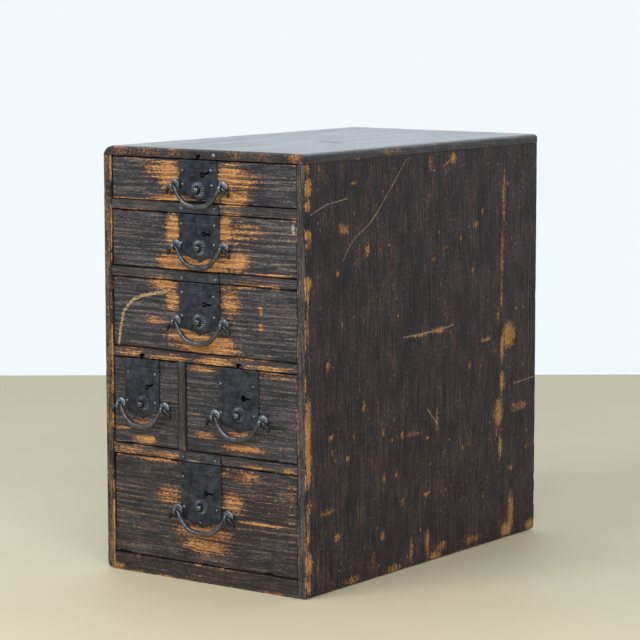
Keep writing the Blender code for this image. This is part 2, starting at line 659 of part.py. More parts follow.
def button(name, places, look, carrier):
    """The lock button: a domed rod through rosette and front, its inner end a ramp under the bolt."""
    crown = PLATE_Y - BUTTON_PROUD
    rim = crown + BUTTON_CROWN
    end = places.bolt_y + FRONT_THICK
    profile = dome(BUTTON_RADIUS, rim, BUTTON_CROWN, DOME_STEPS) + [(BUTTON_RADIUS, end), (0, end)]
    rod = turned(name, profile, (places.lock_x, places.button_z), FINE_SIDES)
    outline = ramp_outline(places, -SLIDE_GAP, places.button_z + FRONT_THICK * RAMP_SLOPE * 2)
    cut(rod, prism("ramp", outline, "X", places.lock_x - BOLT_WIDTH, places.lock_x + BOLT_WIDTH))
    trim = places.bolt_y + BUTTON_RADIUS / RAMP_SLOPE
    cut(rod, box("trim", (places.lock_x - BOLT_WIDTH, trim, places.button_z - BOLT_WIDTH),
                 (places.lock_x + BOLT_WIDTH, end + FRONT_THICK, places.button_z + BOLT_WIDTH)))
    finish(rod, look, (places.lock_x, PLATE_Y, places.button_z), carrier)


def bolt(name, places, look, carrier):
    """The bolt: a flat bar from the button's ramp up to the front's top edge."""
    half = BOLT_WIDTH / 2
    low = places.button_z - BUTTON_RADIUS
    bar = box(name, (places.lock_x - half, places.bolt_y - BOLT_THICK / 2, low),
              (places.lock_x + half, places.bolt_y + BOLT_THICK / 2, places.high_z - FIT_GAP))
    outline = ramp_outline(places, SLIDE_GAP, places.button_z - FRONT_THICK * RAMP_SLOPE * 2)
    cut(bar, prism("ramp", outline, "X", places.lock_x - BOLT_WIDTH, places.lock_x + BOLT_WIDTH))
    finish(bar, look, (places.lock_x, places.bolt_y, places.button_z), carrier)


def build_drawer(number, drawer, looks, root):
    """One drawer and its lock and handle."""
    name = f"drawer_{number}"
    places = DrawerPlaces(drawer)
    carrier = empty(f"{name}_slide", (places.lock_x, FACE_Y, places.foot), root)
    drawer_front(f"{name}_front", places, looks["lacquer"], carrier)
    drawer_box(f"{name}_box", places, looks["bare"], carrier)
    lock_plate(f"{name}_lock_plate", places, looks["iron"], carrier)
    post(f"{name}_post_left", places.post_x[0], places, looks["iron"], carrier)
    post(f"{name}_post_right", places.post_x[1], places, looks["iron"], carrier)
    bail(f"{name}_bail", places, looks["iron"], carrier)
    button(f"{name}_button", places, looks["iron"], carrier)
    bolt(f"{name}_bolt", places, looks["iron"], carrier)


def main():
    for item in list(bpy.data.objects):
        bpy.data.objects.remove(item)
    looks = {
        "lacquer": material("worn_lacquer", (0.035, 0.026, 0.021), 0.55, 0.0),
        "bare": material("bare_wood", (0.42, 0.27, 0.14), 0.75, 0.0),
        "iron": material("dark_iron", (0.035, 0.037, 0.042), 0.45, 0.9),
    }
    root = empty("chest", (0, 0, 0), None)
    build_case(looks["lacquer"], looks["bare"], root)
    for number, drawer in enumerate(DRAWERS, start=1):
        build_drawer(number, drawer, looks, root)


main()
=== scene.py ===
"""Looks of a small tansu chest: worn lacquered boards and forged iron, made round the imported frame.

Metres, +Z up, the drawers' fronts face -Y, as in the frame.
"""
import itertools
import json
import math

import bmesh
import bpy
import numpy as np
from mathutils import Matrix, Vector


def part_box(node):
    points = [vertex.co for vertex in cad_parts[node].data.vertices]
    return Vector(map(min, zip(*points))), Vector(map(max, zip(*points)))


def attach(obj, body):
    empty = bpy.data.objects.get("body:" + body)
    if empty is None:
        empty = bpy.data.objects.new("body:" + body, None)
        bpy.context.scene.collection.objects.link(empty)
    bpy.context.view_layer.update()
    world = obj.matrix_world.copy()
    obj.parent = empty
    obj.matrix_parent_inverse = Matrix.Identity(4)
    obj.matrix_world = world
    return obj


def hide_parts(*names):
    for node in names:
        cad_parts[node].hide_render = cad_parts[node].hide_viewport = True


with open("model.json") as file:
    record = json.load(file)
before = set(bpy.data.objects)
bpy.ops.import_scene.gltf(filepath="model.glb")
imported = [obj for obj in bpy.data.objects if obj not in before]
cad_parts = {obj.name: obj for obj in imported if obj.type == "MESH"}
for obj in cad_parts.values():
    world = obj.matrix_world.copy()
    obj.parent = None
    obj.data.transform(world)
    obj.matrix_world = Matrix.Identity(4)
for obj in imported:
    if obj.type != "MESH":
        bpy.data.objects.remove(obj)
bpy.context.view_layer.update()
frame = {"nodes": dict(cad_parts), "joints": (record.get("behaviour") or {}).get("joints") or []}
joints = {joint["name"]: joint for joint in frame["joints"]}

DRAWER_COUNT = 6
DRAWERS_BELOW = {1: (2,), 2: (3,), 3: (4, 5), 4: (6,)}    # by shelf
FRONT_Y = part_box("left_side_panel")[0].y
SIDE_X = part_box("right_side_panel")[1].x
INNER_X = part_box("right_side_panel")[0].x
FIT_GAP = 0.0003
CUT_PAST = 0.002            # how far a cutter stands past the face that it cuts

# Worn wood
EDGE_ROWS = np.array((0, 0.0004, 0.0009, 0.0016, 0.0026, 0.0040, 0.0060, 0.0090, 0.0130))
LEAST_EDGE = 0.00001        # keeps the edge value 0 for the points that a cut makes
CUT_EDGE = 1.0              # the edge value that those points get, on which the lacquer paints shade
EDGE_ROW_SHARE = 0.4        # the rows near an edge reach at most this far across a board
WARP_CELL = (0.09, 0.09, 0.09)
WARP_DEPTH = 0.00035
FACE_FADE = 0.002           # raised grain ends this far behind its face, raw wood this far inside its own
RAW_START = (0.010, 0.030)  # where raw wood begins behind the chest's front
FRONT_END = (0.0004, 0.0020)    # where the front's colours end on a side panel
SHIELD_RIM = (-0.0012, -0.0002)     # where a plate's cover ends inside its outline
FRONT_RUB_DEPTH = 0.03
SIDE_RUB_DEPTH = 0.02
FRONT_SCRATCH_HALF = 0.0030
JOINT = (0.0002, 0.0002)    # half axes of an edge that meets another board

# Chipped edges: the cell of the noise, the usual share of the radius, its waves, how far it swells in a chip,
# where the noise makes one, and how much of all this an edge with its own rounding takes on
CHIP_CELL = (0.011, 0.011, 0.011)
USUAL_ROUND = 0.75
ROUND_WAVE = 0.35
CHIP_SWELL = 1.3
CHIP_NOISE = (0.25, 0.6)
OWN_ROUND_WAVE = 0.15

# Raised grain: noise cells along and across it, how far the broad noise sways it, and for the wide lines and
# the narrow ones between them how far the close noise shifts them and from where a wave stands up as a ridge
BROAD_CELL = (0.16, 0.030)
CLOSE_CELL = (0.09, 0.012)
GRAIN_SWAY = 0.0035
WIDE_SHIFT = 0.70           # of their spacing
WIDE_START = 0.35
NARROW_SPACING = 0.43       # of the wide lines' spacing
NARROW_SHIFT = 0.8          # of their spacing
NARROW_START = 0.45
WIDE_STRENGTH = (0.55, 0.9, 0.05)   # mean, spread and least
NARROW_STRENGTH = (0.75, 0.6)       # most, and how much of it strong wide lines take away

# How each kind of board is made: the run of its grain, the grid's steps along x, y and z, the radius of its
# worn edges, the faces against other boards, the raw faces, and the face with raised grain, with the grain's
# spacing and depth
BOARDS = {
    "left_side_panel": dict(along="z", steps=(0.004, 0.0022, 0.004), radius=0.0012, covered=("head",),
                            raw=("right",), carved=("left", 0.0085, 0.00005)),
    "right_side_panel": dict(along="z", steps=(0.004, 0.0022, 0.004), radius=0.0012, covered=("head",),
                             raw=("left",), carved=("right", 0.0085, 0.00005)),
    "top_board": dict(along="y", steps=(0.0020, 0.008, 0.004), radius=0.0009, covered=("foot",),
                      raw=("foot",), carved=("head", 0.0085, 0.00006)),
    "bottom_board": dict(along="x", steps=(0.005, 0.008, 0.0016), radius=0.0016, covered=("left", "right"),
                         raw=("head", "foot", "back"), carved=("front", 0.0036, 0.00020)),
    "shelf": dict(along="x", steps=(0.005, 0.010, 0.0012), radius=0.0010, covered=("left", "right"),
                  raw=("head", "foot"), carved=("front", 0.0036, 0.00020)),
    "divider": dict(along="z", steps=(0.0012, 0.010, 0.004), radius=0.0010, covered=("foot", "head"),
                    raw=("left", "right"), carved=("front", 0.0036, 0.00020)),
    "back_panel": dict(along="z", steps=(0.0022, 0.003, 0.008), radius=0.0008, covered=(),
                       raw=(), carved=("back", 0.0080, 0.00020)),
    "front": dict(along="x", steps=(0.003, 0.004, 0.0010), radius=0.0025, covered=(),
                  raw=("back",), carved=("front", 0.0062, 0.00030)),
}
# Edges that are worn rounder or meet another board: half axes of the rounding
WORN_EDGES = {
    "left_side_panel": {("left", "foot"): (0.0100, 0.0125), ("back", "foot"): (0.0085, 0.0085),
                        ("left", "front"): (0.0026, 0.0030), ("left", "head"): (0.0012, 0.0070)},
    "right_side_panel": {("right", "foot"): (0.0050, 0.0050), ("back", "foot"): (0.0085, 0.0085),
                         ("right", "head"): JOINT},
    "top_board": {("left", "head"): (0.0165, 0.0180), ("right", "head"): (0.0058, 0.0058),
                  ("front", "head"): (0.0030, 0.0030), ("back", "head"): (0.0050, 0.0060),
                  ("left", "foot"): JOINT, ("right", "foot"): JOINT},
    "bottom_board": {("back", "foot"): (0.0085, 0.0085)},
    "back_panel": {("back", "foot"): (0.0070, 0.0085)},
    "drawer_2_front": {("right", "head"): (0.0030, 0.0020)},
    "drawer_3_front": {("left", "head"): (0.0030, 0.0036)},
    "drawer_6_front": {("left", "head"): (0.0070, 0.0070)},
}

# Planks and nails of the back
BACK_PLANKS = 3
GROOVE_HALF = 0.0006
GROOVE_DEPTH = 0.0030
GROOVE_PAST = 0.01
BACK_NAIL = (0.0026, 0.0013)    # radius and rise
BACK_NAIL_INSET = 0.012
BACK_NAIL_SPREAD = 0.34     # of a plank's width
BACK_NAIL_SUNK = 0.0002
BACK_NAIL_FLAT = 0.9

# Pockets for the bolts, and the hooked notch in front of a pocket
POCKET_GAP = 0.0008
POCKET_RISE = 0.0046
POCKET_SLACK = 0.0012
NOTCH_STEM = (-0.0026, 0.0008)
NOTCH_HOOK = (-0.0010, 0.0034)
NOTCH_HOOK_HEIGHT = 0.0022

# Boxes of the drawers
BOX_BOARD = 0.0070
BOX_FLOOR = 0.0050
BOX_GAP = 0.0002
BOX_RADIUS = 0.0009
BOX_STEPS = (0.006, 0.012, 0.006)
PEG_RADIUS = 0.0021
PEG_CROWN = 0.8             # of its radius
PEG_PROUD = 0.0003
PEG_SUNK = 0.0005
PEG_INSETS = (0.012, 0.010)     # from the box's foot and from its head

# Iron
IRON_EDGE = 0.0011          # from this edge value on, iron keeps its own colour
SMALL_SIDES = 12
ROD_SIDES = 24
LARGE_SIDES = 32
PLATE_THICK = 0.0014
PLATE_FINE = 0.0004
PLATE_COARSE = 0.0016
PLATE_RIM_ROWS = np.array((0.0003, 0.0007, 0.0012))
PLATE_RIM = 0.0008
PLATE_RIM_THIN = 0.0005
PLATE_RELIEF = 0.006        # more than anything stands proud of a plate
PLATE_DENT = 0.00012
PLATE_DENT_CELL = (0.009, 0.009, 0.009)
PLATE_SHOULDER = 0.0065
PLATE_CORNER = 0.0090
PLATE_CORNER_TURN = math.radians(60)
PLATE_SWEEP = 0.55          # power by which the lower edge falls to its point
STRIP_LAP = 0.0003
STRIP_DROP = 0.0102
STRIP_PROUD = 0.0007
STRIP_BEND = 0.0003
STRIP_WAVE = 0.0002
ROSETTE_RADIUS = 0.0095
ROSETTE_MARGIN = 0.0006
ROSETTE_RISE = 0.0018
ROSETTE_RIM = 0.0004
ROSETTE_RIM_SHARE = 0.06    # of the slope from its rim to its bore
ROSETTE_FLUTES = 20
FLUTE_DEPTH = 0.0006
FLUTE_REACH = 1.1           # flutes end before the bore
# Strength of the painted highlight on each drawer's rosette flutes
ROSETTE_HIGHLIGHT = {1: 1.0, 2: 1.0, 3: 0.9, 4: 0.3, 5: 0.5, 6: 0.7}
# Edge values of a lock plate, which set where its painted highlight falls: at its outline, along its strip
# and in the rosette's hollows
OUTLINE_EDGE = 0.0009
STRIP_EDGE = 0.0004
HOLLOW_EDGE = 0.0012
NAIL_RADIUS = 0.0019
NAIL_RISE = 0.0015
NAIL_SUNK = 0.0004
SPARE_HOLE_RADIUS = 0.0007
SPARE_HOLE_SIDES = 10
KEYHOLE_RADIUS = 0.0030
KEYHOLE_BORE = 1.2          # a hole without a pin is wider by this factor
KEY_PIN_RADIUS = 0.0011
KEY_SLOT_LENGTH = 0.0100
KEY_SLOT_WIDTH = 0.0024
KEY_SLOT_START = 1.5        # of the pin's radius
BUTTON_CROWN = 0.0034
BUTTON_NECK = 0.93          # of the button's radius
BUTTON_NECK_ROWS = (0.0004, 0.0008, 0.0012)
BUTTON_ROOM = 0.0045
BORE_GAP = 0.0004
RAMP_SLOPE = 1.25
RAMP_START = 0.003
WASHER_RADIUS = 0.0067
WASHER_RISE = 0.0026
WASHER_RIM = 0.0002
WASHER_HOLLOW = 0.9         # of its radius
POST_RADIUS = 0.0053
EYE_OUTER = 0.0042
EYE_WIRE = 0.0008
EYE_HALF_WIDTH = 0.0016
EYE_STEPS = 28
SHANK_RADIUS = 0.0017
CLENCH_RADIUS = 0.0032
CLENCH_THICK = 0.0010
CLENCH_RIM = 0.0002
CLENCH_CROWN = (0.9, 0.5)   # of its radius
KEEPER_THICK = 0.0012
KEEPER_HALF = 0.0281
KEEPER_FOOT = 0.0003
KEEPER_HEAD = 0.0012
KEEPER_DENT = 0.0002
KEEPER_DENT_CELL = (0.008, 0.008, 0.006)
KEEPER_BEND = 0.0006
KEEPER_BEND_CELL = (0.012, 1, 1)
KEEPER_BEND_START = 0.3     # of the rail's height
KEEPER_X_GRID = (0.004, 0.0016, 0.0016)     # reach about the middle, steps within it and outside it
KEEPER_Z_GRID = (0.001, 0.0008, 0.0012)

# The bail: radii, and the shares that shape its grip and its tips
BAIL_GRIP_RADIUS = 0.0030
BAIL_NECK_RADIUS = 0.0016
BAIL_DROP = 0.0212
BAIL_NECK_SLACK = 0.0029
BAIL_TIP_REACH = 0.0100
BAIL_TIP_DROP = 0.0078
BAIL_TIP_CURL = 0.0015
BAIL_GRIP_SHARES = ((0, 1, 1), (0.40, 0.89, 0.98), (0.65, 0.61, 0.86), (0.82, 0.28, 0.67))
BAIL_TIP_SHARES = ((0.52, 0.20, 0.3, 1.30), (0.80, 0.55, 0.6, 1.45), (0.94, 0.92, 1, 1.25))
BAIL_END_TURNS = (30, 55, 75, 90)
BAIL_SIDES = 16
BAIL_GRIP_ROWS = 33
BAIL_TIP_ROWS = 17
BAIL_HAMMERING = 0.05       # of its radius
BAIL_HAMMER_CELL = (0.006, 0.006, 0.006)
TIP_SHADE_SPAN = (0.0015, 0.0065)    # where the painted shade on a tip begins and is full, beyond its eye

# Keyholes: the middle (x, z), the slot's tilt in degrees, and whether the pin is still there
KEYHOLES = {
    1: ((0.0020, 0.4522), 17, True), 2: ((0.0031, 0.3877), 0, True), 3: ((0.0033, 0.3106), 0, True),
    4: ((-0.0790, 0.2124), 21, True), 5: ((0.0568, 0.2118), 0, False), 6: ((0.0042, 0.1013), 0, True),
}
# Nails of the locks (x, z)
LOCK_NAILS = {
    1: ((-0.0259, 0.4563), (0.0138, 0.4574), (-0.0256, 0.4411), (0.0150, 0.4410)),
    2: ((-0.0280, 0.3980), (0.0183, 0.3979), (-0.0280, 0.3768), (0.0178, 0.3764)),
    3: ((-0.0280, 0.3224), (0.0163, 0.3199), (-0.0280, 0.2966), (0.0174, 0.2973)),
    4: ((-0.1061, 0.2277), (-0.0673, 0.2276), (-0.1076, 0.1951), (-0.0672, 0.1954)),
    5: ((0.0255, 0.2257), (0.0702, 0.2257), (0.0258, 0.1940), (0.0716, 0.1935)),
    6: ((-0.0282, 0.1173), (-0.0267, 0.0834), (0.0194, 0.0842), (-0.0037, 0.0675)),
}
# Empty nail holes of the locks (x, z)
SPARE_HOLES = {
    1: ((-0.0215, 0.4395), (0.0115, 0.4388)), 2: ((-0.0250, 0.3712), (0.0140, 0.3722)),
    3: ((-0.0252, 0.2918), (0.0132, 0.2905)), 4: ((-0.1045, 0.1912), (-0.0705, 0.1908)),
    5: ((0.0292, 0.1905), (0.0684, 0.1892)), 6: ((-0.0240, 0.0798), (0.0155, 0.0797)),
}
# Keeper plates left on the rails: the shelf, the drawer below it and the nails (x, z)
KEEPERS = ((1, 2, ((-0.0270, 0.4145), (0.0190, 0.4160))), (2, 3, ((-0.0270, 0.3385), (0.0200, 0.3388))),
           (4, 6, ((-0.0270, 0.1393), (0.0180, 0.1393))))
# Lone nails where a keeper is lost (x, z), their radius and rise
LONE_NAILS = ((0.0170, 0.4738), (0.0730, 0.2468))
LONE_NAIL = (0.0028, 0.0018)
# Pale crust on the lowest keeper: its middle and its reach
CRUST_PLACE = (-0.0125, -0.2350, 0.1340)
CRUST_REACH = (0.0090, 0.0200, 0.0030)
# Drawers whose bolt pocket shows as a notch in the board above
NOTCHED = (1, 4, 5)

# Bare places rubbed through the lacquer of each drawer front: x, z, half width, half height, strength
RUBS = {
    1: ((-0.047, 0.450, 0.015, 0.018, 0.95), (-0.067, 0.456, 0.018, 0.010, 0.58),
        (-0.046, 0.4240, 0.028, 0.005, 0.92), (-0.100, 0.4215, 0.030, 0.0018, 0.70),
        (0.037, 0.450, 0.016, 0.015, 0.92), (0.058, 0.446, 0.020, 0.014, 0.60),
        (0.043, 0.4280, 0.022, 0.007, 0.90)),
    2: ((-0.042, 0.389, 0.010, 0.020, 0.94), (-0.036, 0.355, 0.024, 0.010, 0.96),
        (0.008, 0.353, 0.030, 0.008, 1.00), (0.032, 0.393, 0.009, 0.018, 0.92),
        (0.055, 0.391, 0.026, 0.014, 0.48), (0.046, 0.359, 0.018, 0.012, 0.82),
        (0.100, 0.3475, 0.026, 0.0018, 0.70)),
    3: ((-0.054, 0.329, 0.021, 0.006, 0.85), (-0.043, 0.314, 0.010, 0.012, 0.94),
        (-0.066, 0.288, 0.013, 0.004, 0.60), (0.038, 0.316, 0.014, 0.018, 0.66),
        (0.080, 0.309, 0.004, 0.007, 0.69), (0.080, 0.291, 0.004, 0.006, 0.60),
        (0.052, 0.3325, 0.028, 0.0025, 0.80), (-0.018, 0.272, 0.032, 0.008, 0.97),
        (0.006, 0.262, 0.042, 0.008, 1.00), (0.022, 0.269, 0.020, 0.007, 0.98)),
    4: ((-0.082, 0.153, 0.019, 0.004, 0.80), (-0.116, 0.163, 0.012, 0.003, 0.53),
        (-0.086, 0.173, 0.020, 0.003, 0.69)),
    5: ((-0.004, 0.2395, 0.021, 0.003, 0.86), (0.001, 0.166, 0.016, 0.0035, 0.71),
        (0.055, 0.156, 0.030, 0.004, 0.92), (0.050, 0.1715, 0.018, 0.003, 0.85),
        (0.102, 0.240, 0.022, 0.004, 0.52)),
    6: ((-0.065, 0.132, 0.032, 0.002, 0.80), (-0.050, 0.094, 0.016, 0.010, 0.64),
        (0.050, 0.126, 0.024, 0.008, 0.57), (0.041, 0.094, 0.014, 0.014, 0.75),
        (0.000, 0.056, 0.040, 0.008, 1.00), (0.002, 0.042, 0.033, 0.008, 0.88),
        (0.121, 0.096, 0.005, 0.036, 0.34), (0.080, 0.0745, 0.040, 0.002, 0.63),
        (0.080, 0.094, 0.040, 0.030, 0.17)),
}
# The pale arc scratched into drawer 3's front: x, z
ARC_SCRATCH = ((-0.121, 0.258), (-0.118, 0.277), (-0.113, 0.296), (-0.100, 0.309), (-0.085, 0.315),
               (-0.063, 0.319), (-0.052, 0.321))
# The pale scuff at the right end of drawer 2's front: x, z
CORNER_SCUFF = ((0.1232, 0.4026), (0.1240, 0.3952))
# Scratches on the right side: half width, then points y, z
SIDE_SCRATCHES = (
    (0.0008, ((-0.044, 0.464), (-0.075, 0.433), (-0.099, 0.410), (-0.117, 0.396), (-0.141, 0.385),
              (-0.154, 0.374), (-0.165, 0.360))),
    (0.0008, ((-0.223, 0.415), (-0.193, 0.424), (-0.156, 0.428))),
    (0.0010, ((-0.048, 0.265), (0.020, 0.266), (0.053, 0.269))),
    (0.0010, ((0.030, 0.452), (0.051, 0.461))),
    (0.0010, ((0.184, 0.185), (0.229, 0.188))),
    (0.0012, ((0.001, 0.177), (0.020, 0.158))),
)
# Scratches on the left side, which the photograph doesn't show
LEFT_SCRATCHES = (
    (0.0008, ((0.082, 0.118), (0.030, 0.163), (-0.024, 0.186))),
    (0.0008, ((-0.121, 0.352), (-0.083, 0.371))),
    (0.0009, ((0.148, 0.301), (0.177, 0.294))),
)
# Bare places on the right side: y, z, half width, half height, strength
SIDE_RUBS = (
    (0.172, 0.245, 0.013, 0.015, 0.95), (0.157, 0.229, 0.004, 0.016, 0.75),
    (0.158, 0.190, 0.006, 0.014, 0.62), (0.150, 0.155, 0.009, 0.018, 0.72),
    (0.154, 0.114, 0.005, 0.018, 0.58), (0.178, 0.030, 0.006, 0.026, 0.85),
    (0.170, 0.010, 0.012, 0.008, 0.90), (0.222, 0.008, 0.012, 0.007, 0.85),
    (0.051, 0.461, 0.006, 0.006, 0.80), (0.004, 0.458, 0.004, 0.012, 0.60),
    (-0.060, 0.474, 0.020, 0.003, 0.72), (-0.145, 0.444, 0.006, 0.002, 0.70),
    (-0.118, 0.369, 0.006, 0.007, 0.58), (-0.174, 0.347, 0.003, 0.004, 0.80),
    (-0.163, 0.395, 0.010, 0.005, 0.55), (0.100, 0.381, 0.005, 0.004, 0.70),
    (0.067, 0.369, 0.003, 0.002, 0.75), (0.020, 0.266, 0.016, 0.003, 0.72),
    (-0.020, 0.265, 0.024, 0.002, 0.60), (0.148, 0.268, 0.003, 0.010, 0.70),
    (0.122, 0.244, 0.010, 0.0015, 0.85), (0.020, 0.162, 0.003, 0.014, 0.70),
    (-0.001, 0.080, 0.006, 0.003, 0.90), (-0.051, 0.079, 0.005, 0.002, 0.85),
    (0.115, 0.059, 0.008, 0.002, 0.85), (0.001, 0.024, 0.006, 0.018, 0.60),
    (-0.032, 0.020, 0.004, 0.016, 0.52), (0.032, 0.014, 0.012, 0.006, 0.58),
    (-0.195, 0.090, 0.012, 0.004, 0.58), (-0.035, 0.153, 0.030, 0.003, 0.46),
    (0.195, 0.156, 0.016, 0.007, 0.50), (-0.107, 0.027, 0.004, 0.014, 0.52),
    (0.159, 0.402, 0.0030, 0.030, 0.62), (0.157, 0.345, 0.0040, 0.036, 0.56),
    (0.155, 0.298, 0.0030, 0.022, 0.52), (0.160, 0.428, 0.0016, 0.020, 0.50),
    (-0.169, 0.401, 0.007, 0.003, 0.50), (-0.159, 0.392, 0.006, 0.003, 0.55),
    (0.036, 0.360, 0.005, 0.002, 0.60), (0.011, 0.348, 0.004, 0.003, 0.60),
    (0.113, 0.395, 0.003, 0.006, 0.60), (0.135, 0.473, 0.012, 0.003, 0.60),
    (-0.071, 0.152, 0.003, 0.003, 0.70), (-0.051, 0.157, 0.003, 0.003, 0.70),
    (0.001, 0.145, 0.003, 0.003, 0.65), (-0.192, 0.249, 0.004, 0.005, 0.65),
    (-0.125, 0.196, 0.004, 0.006, 0.60), (-0.088, 0.163, 0.003, 0.004, 0.65),
    (-0.155, 0.143, 0.004, 0.004, 0.65), (-0.186, 0.171, 0.005, 0.004, 0.62),
    (-0.144, 0.166, 0.003, 0.005, 0.62), (-0.086, 0.111, 0.003, 0.006, 0.62),
    (0.088, 0.218, 0.004, 0.003, 0.62), (-0.175, 0.059, 0.007, 0.003, 0.65),
    (-0.089, 0.046, 0.004, 0.006, 0.62), (-0.066, 0.005, 0.016, 0.005, 0.60),
    (0.019, 0.005, 0.014, 0.005, 0.65), (0.203, 0.157, 0.008, 0.002, 0.70),
    (0.213, 0.106, 0.008, 0.002, 0.65), (0.177, 0.084, 0.006, 0.003, 0.65),
    (0.095, 0.012, 0.020, 0.005, 0.50), (-0.150, 0.006, 0.018, 0.005, 0.55),
)
# The left side's bare places: some of the right side's, turned about and weaker, and one along its front edge
LEFT_SHARE = slice(10, 30)
LEFT_TURN = (0.03, 0.48)
LEFT_WEAR = 0.9
LEFT_FRONT_RUB = ((-SIDE_X + 0.006, FRONT_Y, 0.24), (0.012, 0.006, 0.30), 0.33)
# Rubbed places along the top board's front edge (x, half width, strength), with their z and reach in y and z
TOP_RUBS = ((-0.112, 0.014, 0.22), (-0.075, 0.018, 0.38), (-0.035, 0.014, 0.20), (0.045, 0.014, 0.20),
            (0.085, 0.010, 0.20), (0.126, 0.012, 0.46))
TOP_RUB_Z = 0.476
TOP_RUB_REACH = (0.012, 0.006)
# Rubbed places on its right end (y, half width, strength), with their z and reach in x and z
TOP_END_RUBS = ((-0.080, 0.012, 0.36), (-0.058, 0.007, 0.42), (0.135, 0.008, 0.30))
TOP_END_Z = 0.475
TOP_END_REACH = (0.008, 0.004)
# Rubbed places on the bottom board: middle, reach and strength
FOOT_RUBS = (((-0.124, FRONT_Y, 0.004), (0.010, 0.020, 0.005), 0.72),
             ((-0.100, FRONT_Y, 0.001), (0.020, 0.020, 0.002), 0.5))
# Rubbed places on the rails: x, z, half width, half height, strength
RAIL_RUBS = {
    1: ((-0.085, 0.4108, 0.030, 0.0020, 0.37), (0.060, 0.4115, 0.030, 0.0026, 0.35)),
    2: ((-0.060, 0.3365, 0.030, 0.0026, 0.32), (0.070, 0.3365, 0.040, 0.0030, 0.43)),
    3: ((-0.105, 0.2500, 0.022, 0.0050, 0.60), (-0.045, 0.2480, 0.030, 0.0040, 0.70),
        (0.015, 0.2490, 0.030, 0.0045, 0.78), (0.092, 0.2470, 0.028, 0.0035, 0.58)),
    4: ((-0.105, 0.1395, 0.026, 0.0045, 0.62), (-0.055, 0.1385, 0.025, 0.0035, 0.62),
        (0.070, 0.1375, 0.030, 0.0030, 0.51), (0.116, 0.1370, 0.014, 0.0040, 0.57)),
}
# A crack in the top (x, y), how far it dulls the polish, and how far below the top the polish ends
TOP_CRACK = ((0.016, -0.037), (0.032, -0.040), (0.057, -0.054))
CRACK_REACH = 0.0060
SHEEN_END = (0.001, 0.005)
# The polish itself: its mean, and the strength and the noise cell of its streaks and of its clouds
SHEEN_MEAN = 0.90
SHEEN_STREAKS = (0.30, (0.007, 0.140, 1))
SHEEN_CLOUDS = (0.15, (0.05, 0.09, 1))
# Chips along the right side's front edge: z, half height, strength
FRONT_CHIPS = ((0.444, 0.010, 0.90), (0.424, 0.008, 0.80), (0.393, 0.006, 0.95), (0.382, 0.003, 0.80),
               (0.342, 0.007, 0.90), (0.326, 0.006, 0.55), (0.300, 0.020, 0.50), (0.209, 0.010, 0.75),
               (0.175, 0.040, 0.82), (0.140, 0.016, 0.72), (0.093, 0.016, 0.62), (0.067, 0.010, 0.66),
               (0.038, 0.013, 0.98), (0.013, 0.008, 0.80), (0.464, 0.006, 0.70))
CHIP_INSET = 0.004          # behind the front
CHIP_DEPTH = 0.0020
CHIP_WIDTH = 0.0075         # at full strength, by whose power it shrinks
CHIP_POWER = 1.5


def random_values(cells, seed):
    """A repeatable random number from 0 to 1 for every whole-number cell (x, y, z)."""
    mixed = (cells + 4096).astype(np.uint64)
    mixed = mixed[:, 0] * 374761393 + mixed[:, 1] * 668265263 + mixed[:, 2] * 1274126177 + seed * 974634777
    mixed = (mixed ^ (mixed >> 13)) * 1103515245 & 0xFFFFFFFF
    mixed = (mixed ^ (mixed >> 16)) * 2654435769 & 0xFFFFFFFF
    return ((mixed ^ (mixed >> 15)) & 0xFFFFFF) / float(0xFFFFFF)


def waviness(points, cell, seed, layers=3):
    """Smooth noise from -1 to 1.

    Random numbers on the corners of cells of the given size are blended by t * t * (3 - 2 * t) in each
    direction. Each further layer has cells half as large and half the weight.
    """
    total = np.zeros(len(points))
    weights = 0.5 ** np.arange(layers)
    for layer, weight in enumerate(weights):
        places = np.asarray(points) / np.array(cell) * 2 ** layer
        base = np.floor(places).astype(np.int64)
        t = places - base
        t = t * t * (3 - 2 * t)
        for corner in itertools.product((0, 1), repeat=3):
            share = np.prod(np.where(corner, t, 1 - t), axis=1)
            total += weight * share * (2 * random_values(base + np.array(corner), seed + layer) - 1)
    return total / weights.sum()


def smooth_step(low, high, value):
    """0 below low, 1 above high, and t * t * (3 - 2 * t) between."""
    t = np.clip((value - low) / (high - low), 0, 1)
    return t * t * (3 - 2 * t)


def combine(shells):
    """Several shells (points, faces) as one, with the faces' numbers moved on."""
    starts = np.cumsum([0] + [len(points) for points, faces in shells[:-1]])
    faces = [np.asarray(part) + start for (points, part), start in zip(shells, starts)]
    return np.concatenate([points for points, part in shells]), np.concatenate(faces)


def add_mesh(name, points, faces):
    """A mesh object from points and quads."""
    mesh = bpy.data.meshes.new(name)
    mesh.from_pydata(np.asarray(points).tolist(), [], np.asarray(faces).tolist())
    made = bpy.data.objects.new(name, mesh)
    bpy.context.scene.collection.objects.link(made)
    return made


def close_mesh(made):
    """Merge doubled points at poles and seams, then turn the faces out."""
    bm = bmesh.new()
    bm.from_mesh(made.data)
    bmesh.ops.remove_doubles(bm, verts=bm.verts, dist=1e-7)
    bmesh.ops.recalc_face_normals(bm, faces=bm.faces)
    bm.to_mesh(made.data)
    bm.free()


def set_values(made, name, values):
    """Store one number for every point of a piece, for its material to read."""
    made.data.attributes.new(name, "FLOAT", "POINT").data.foreach_set("value", values.astype(np.float32))


def all_points(made):
    """The points of a piece."""
    places = np.empty(len(made.data.vertices) * 3, np.float32)
    made.data.vertices.foreach_get("co", places)
    return places.reshape(-1, 3).astype(float)


def settle(made, look, body, node=None, sharp=50):
    """Shade a piece, give it its material, and let it ride on its body in place of its node."""
    made.data.materials.clear()
    made.data.materials.append(look)
    made.data.shade_smooth()
    made.data.set_sharp_from_angle(angle=math.radians(sharp))
    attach(made, body)
    if node:
        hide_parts(node)
    return made


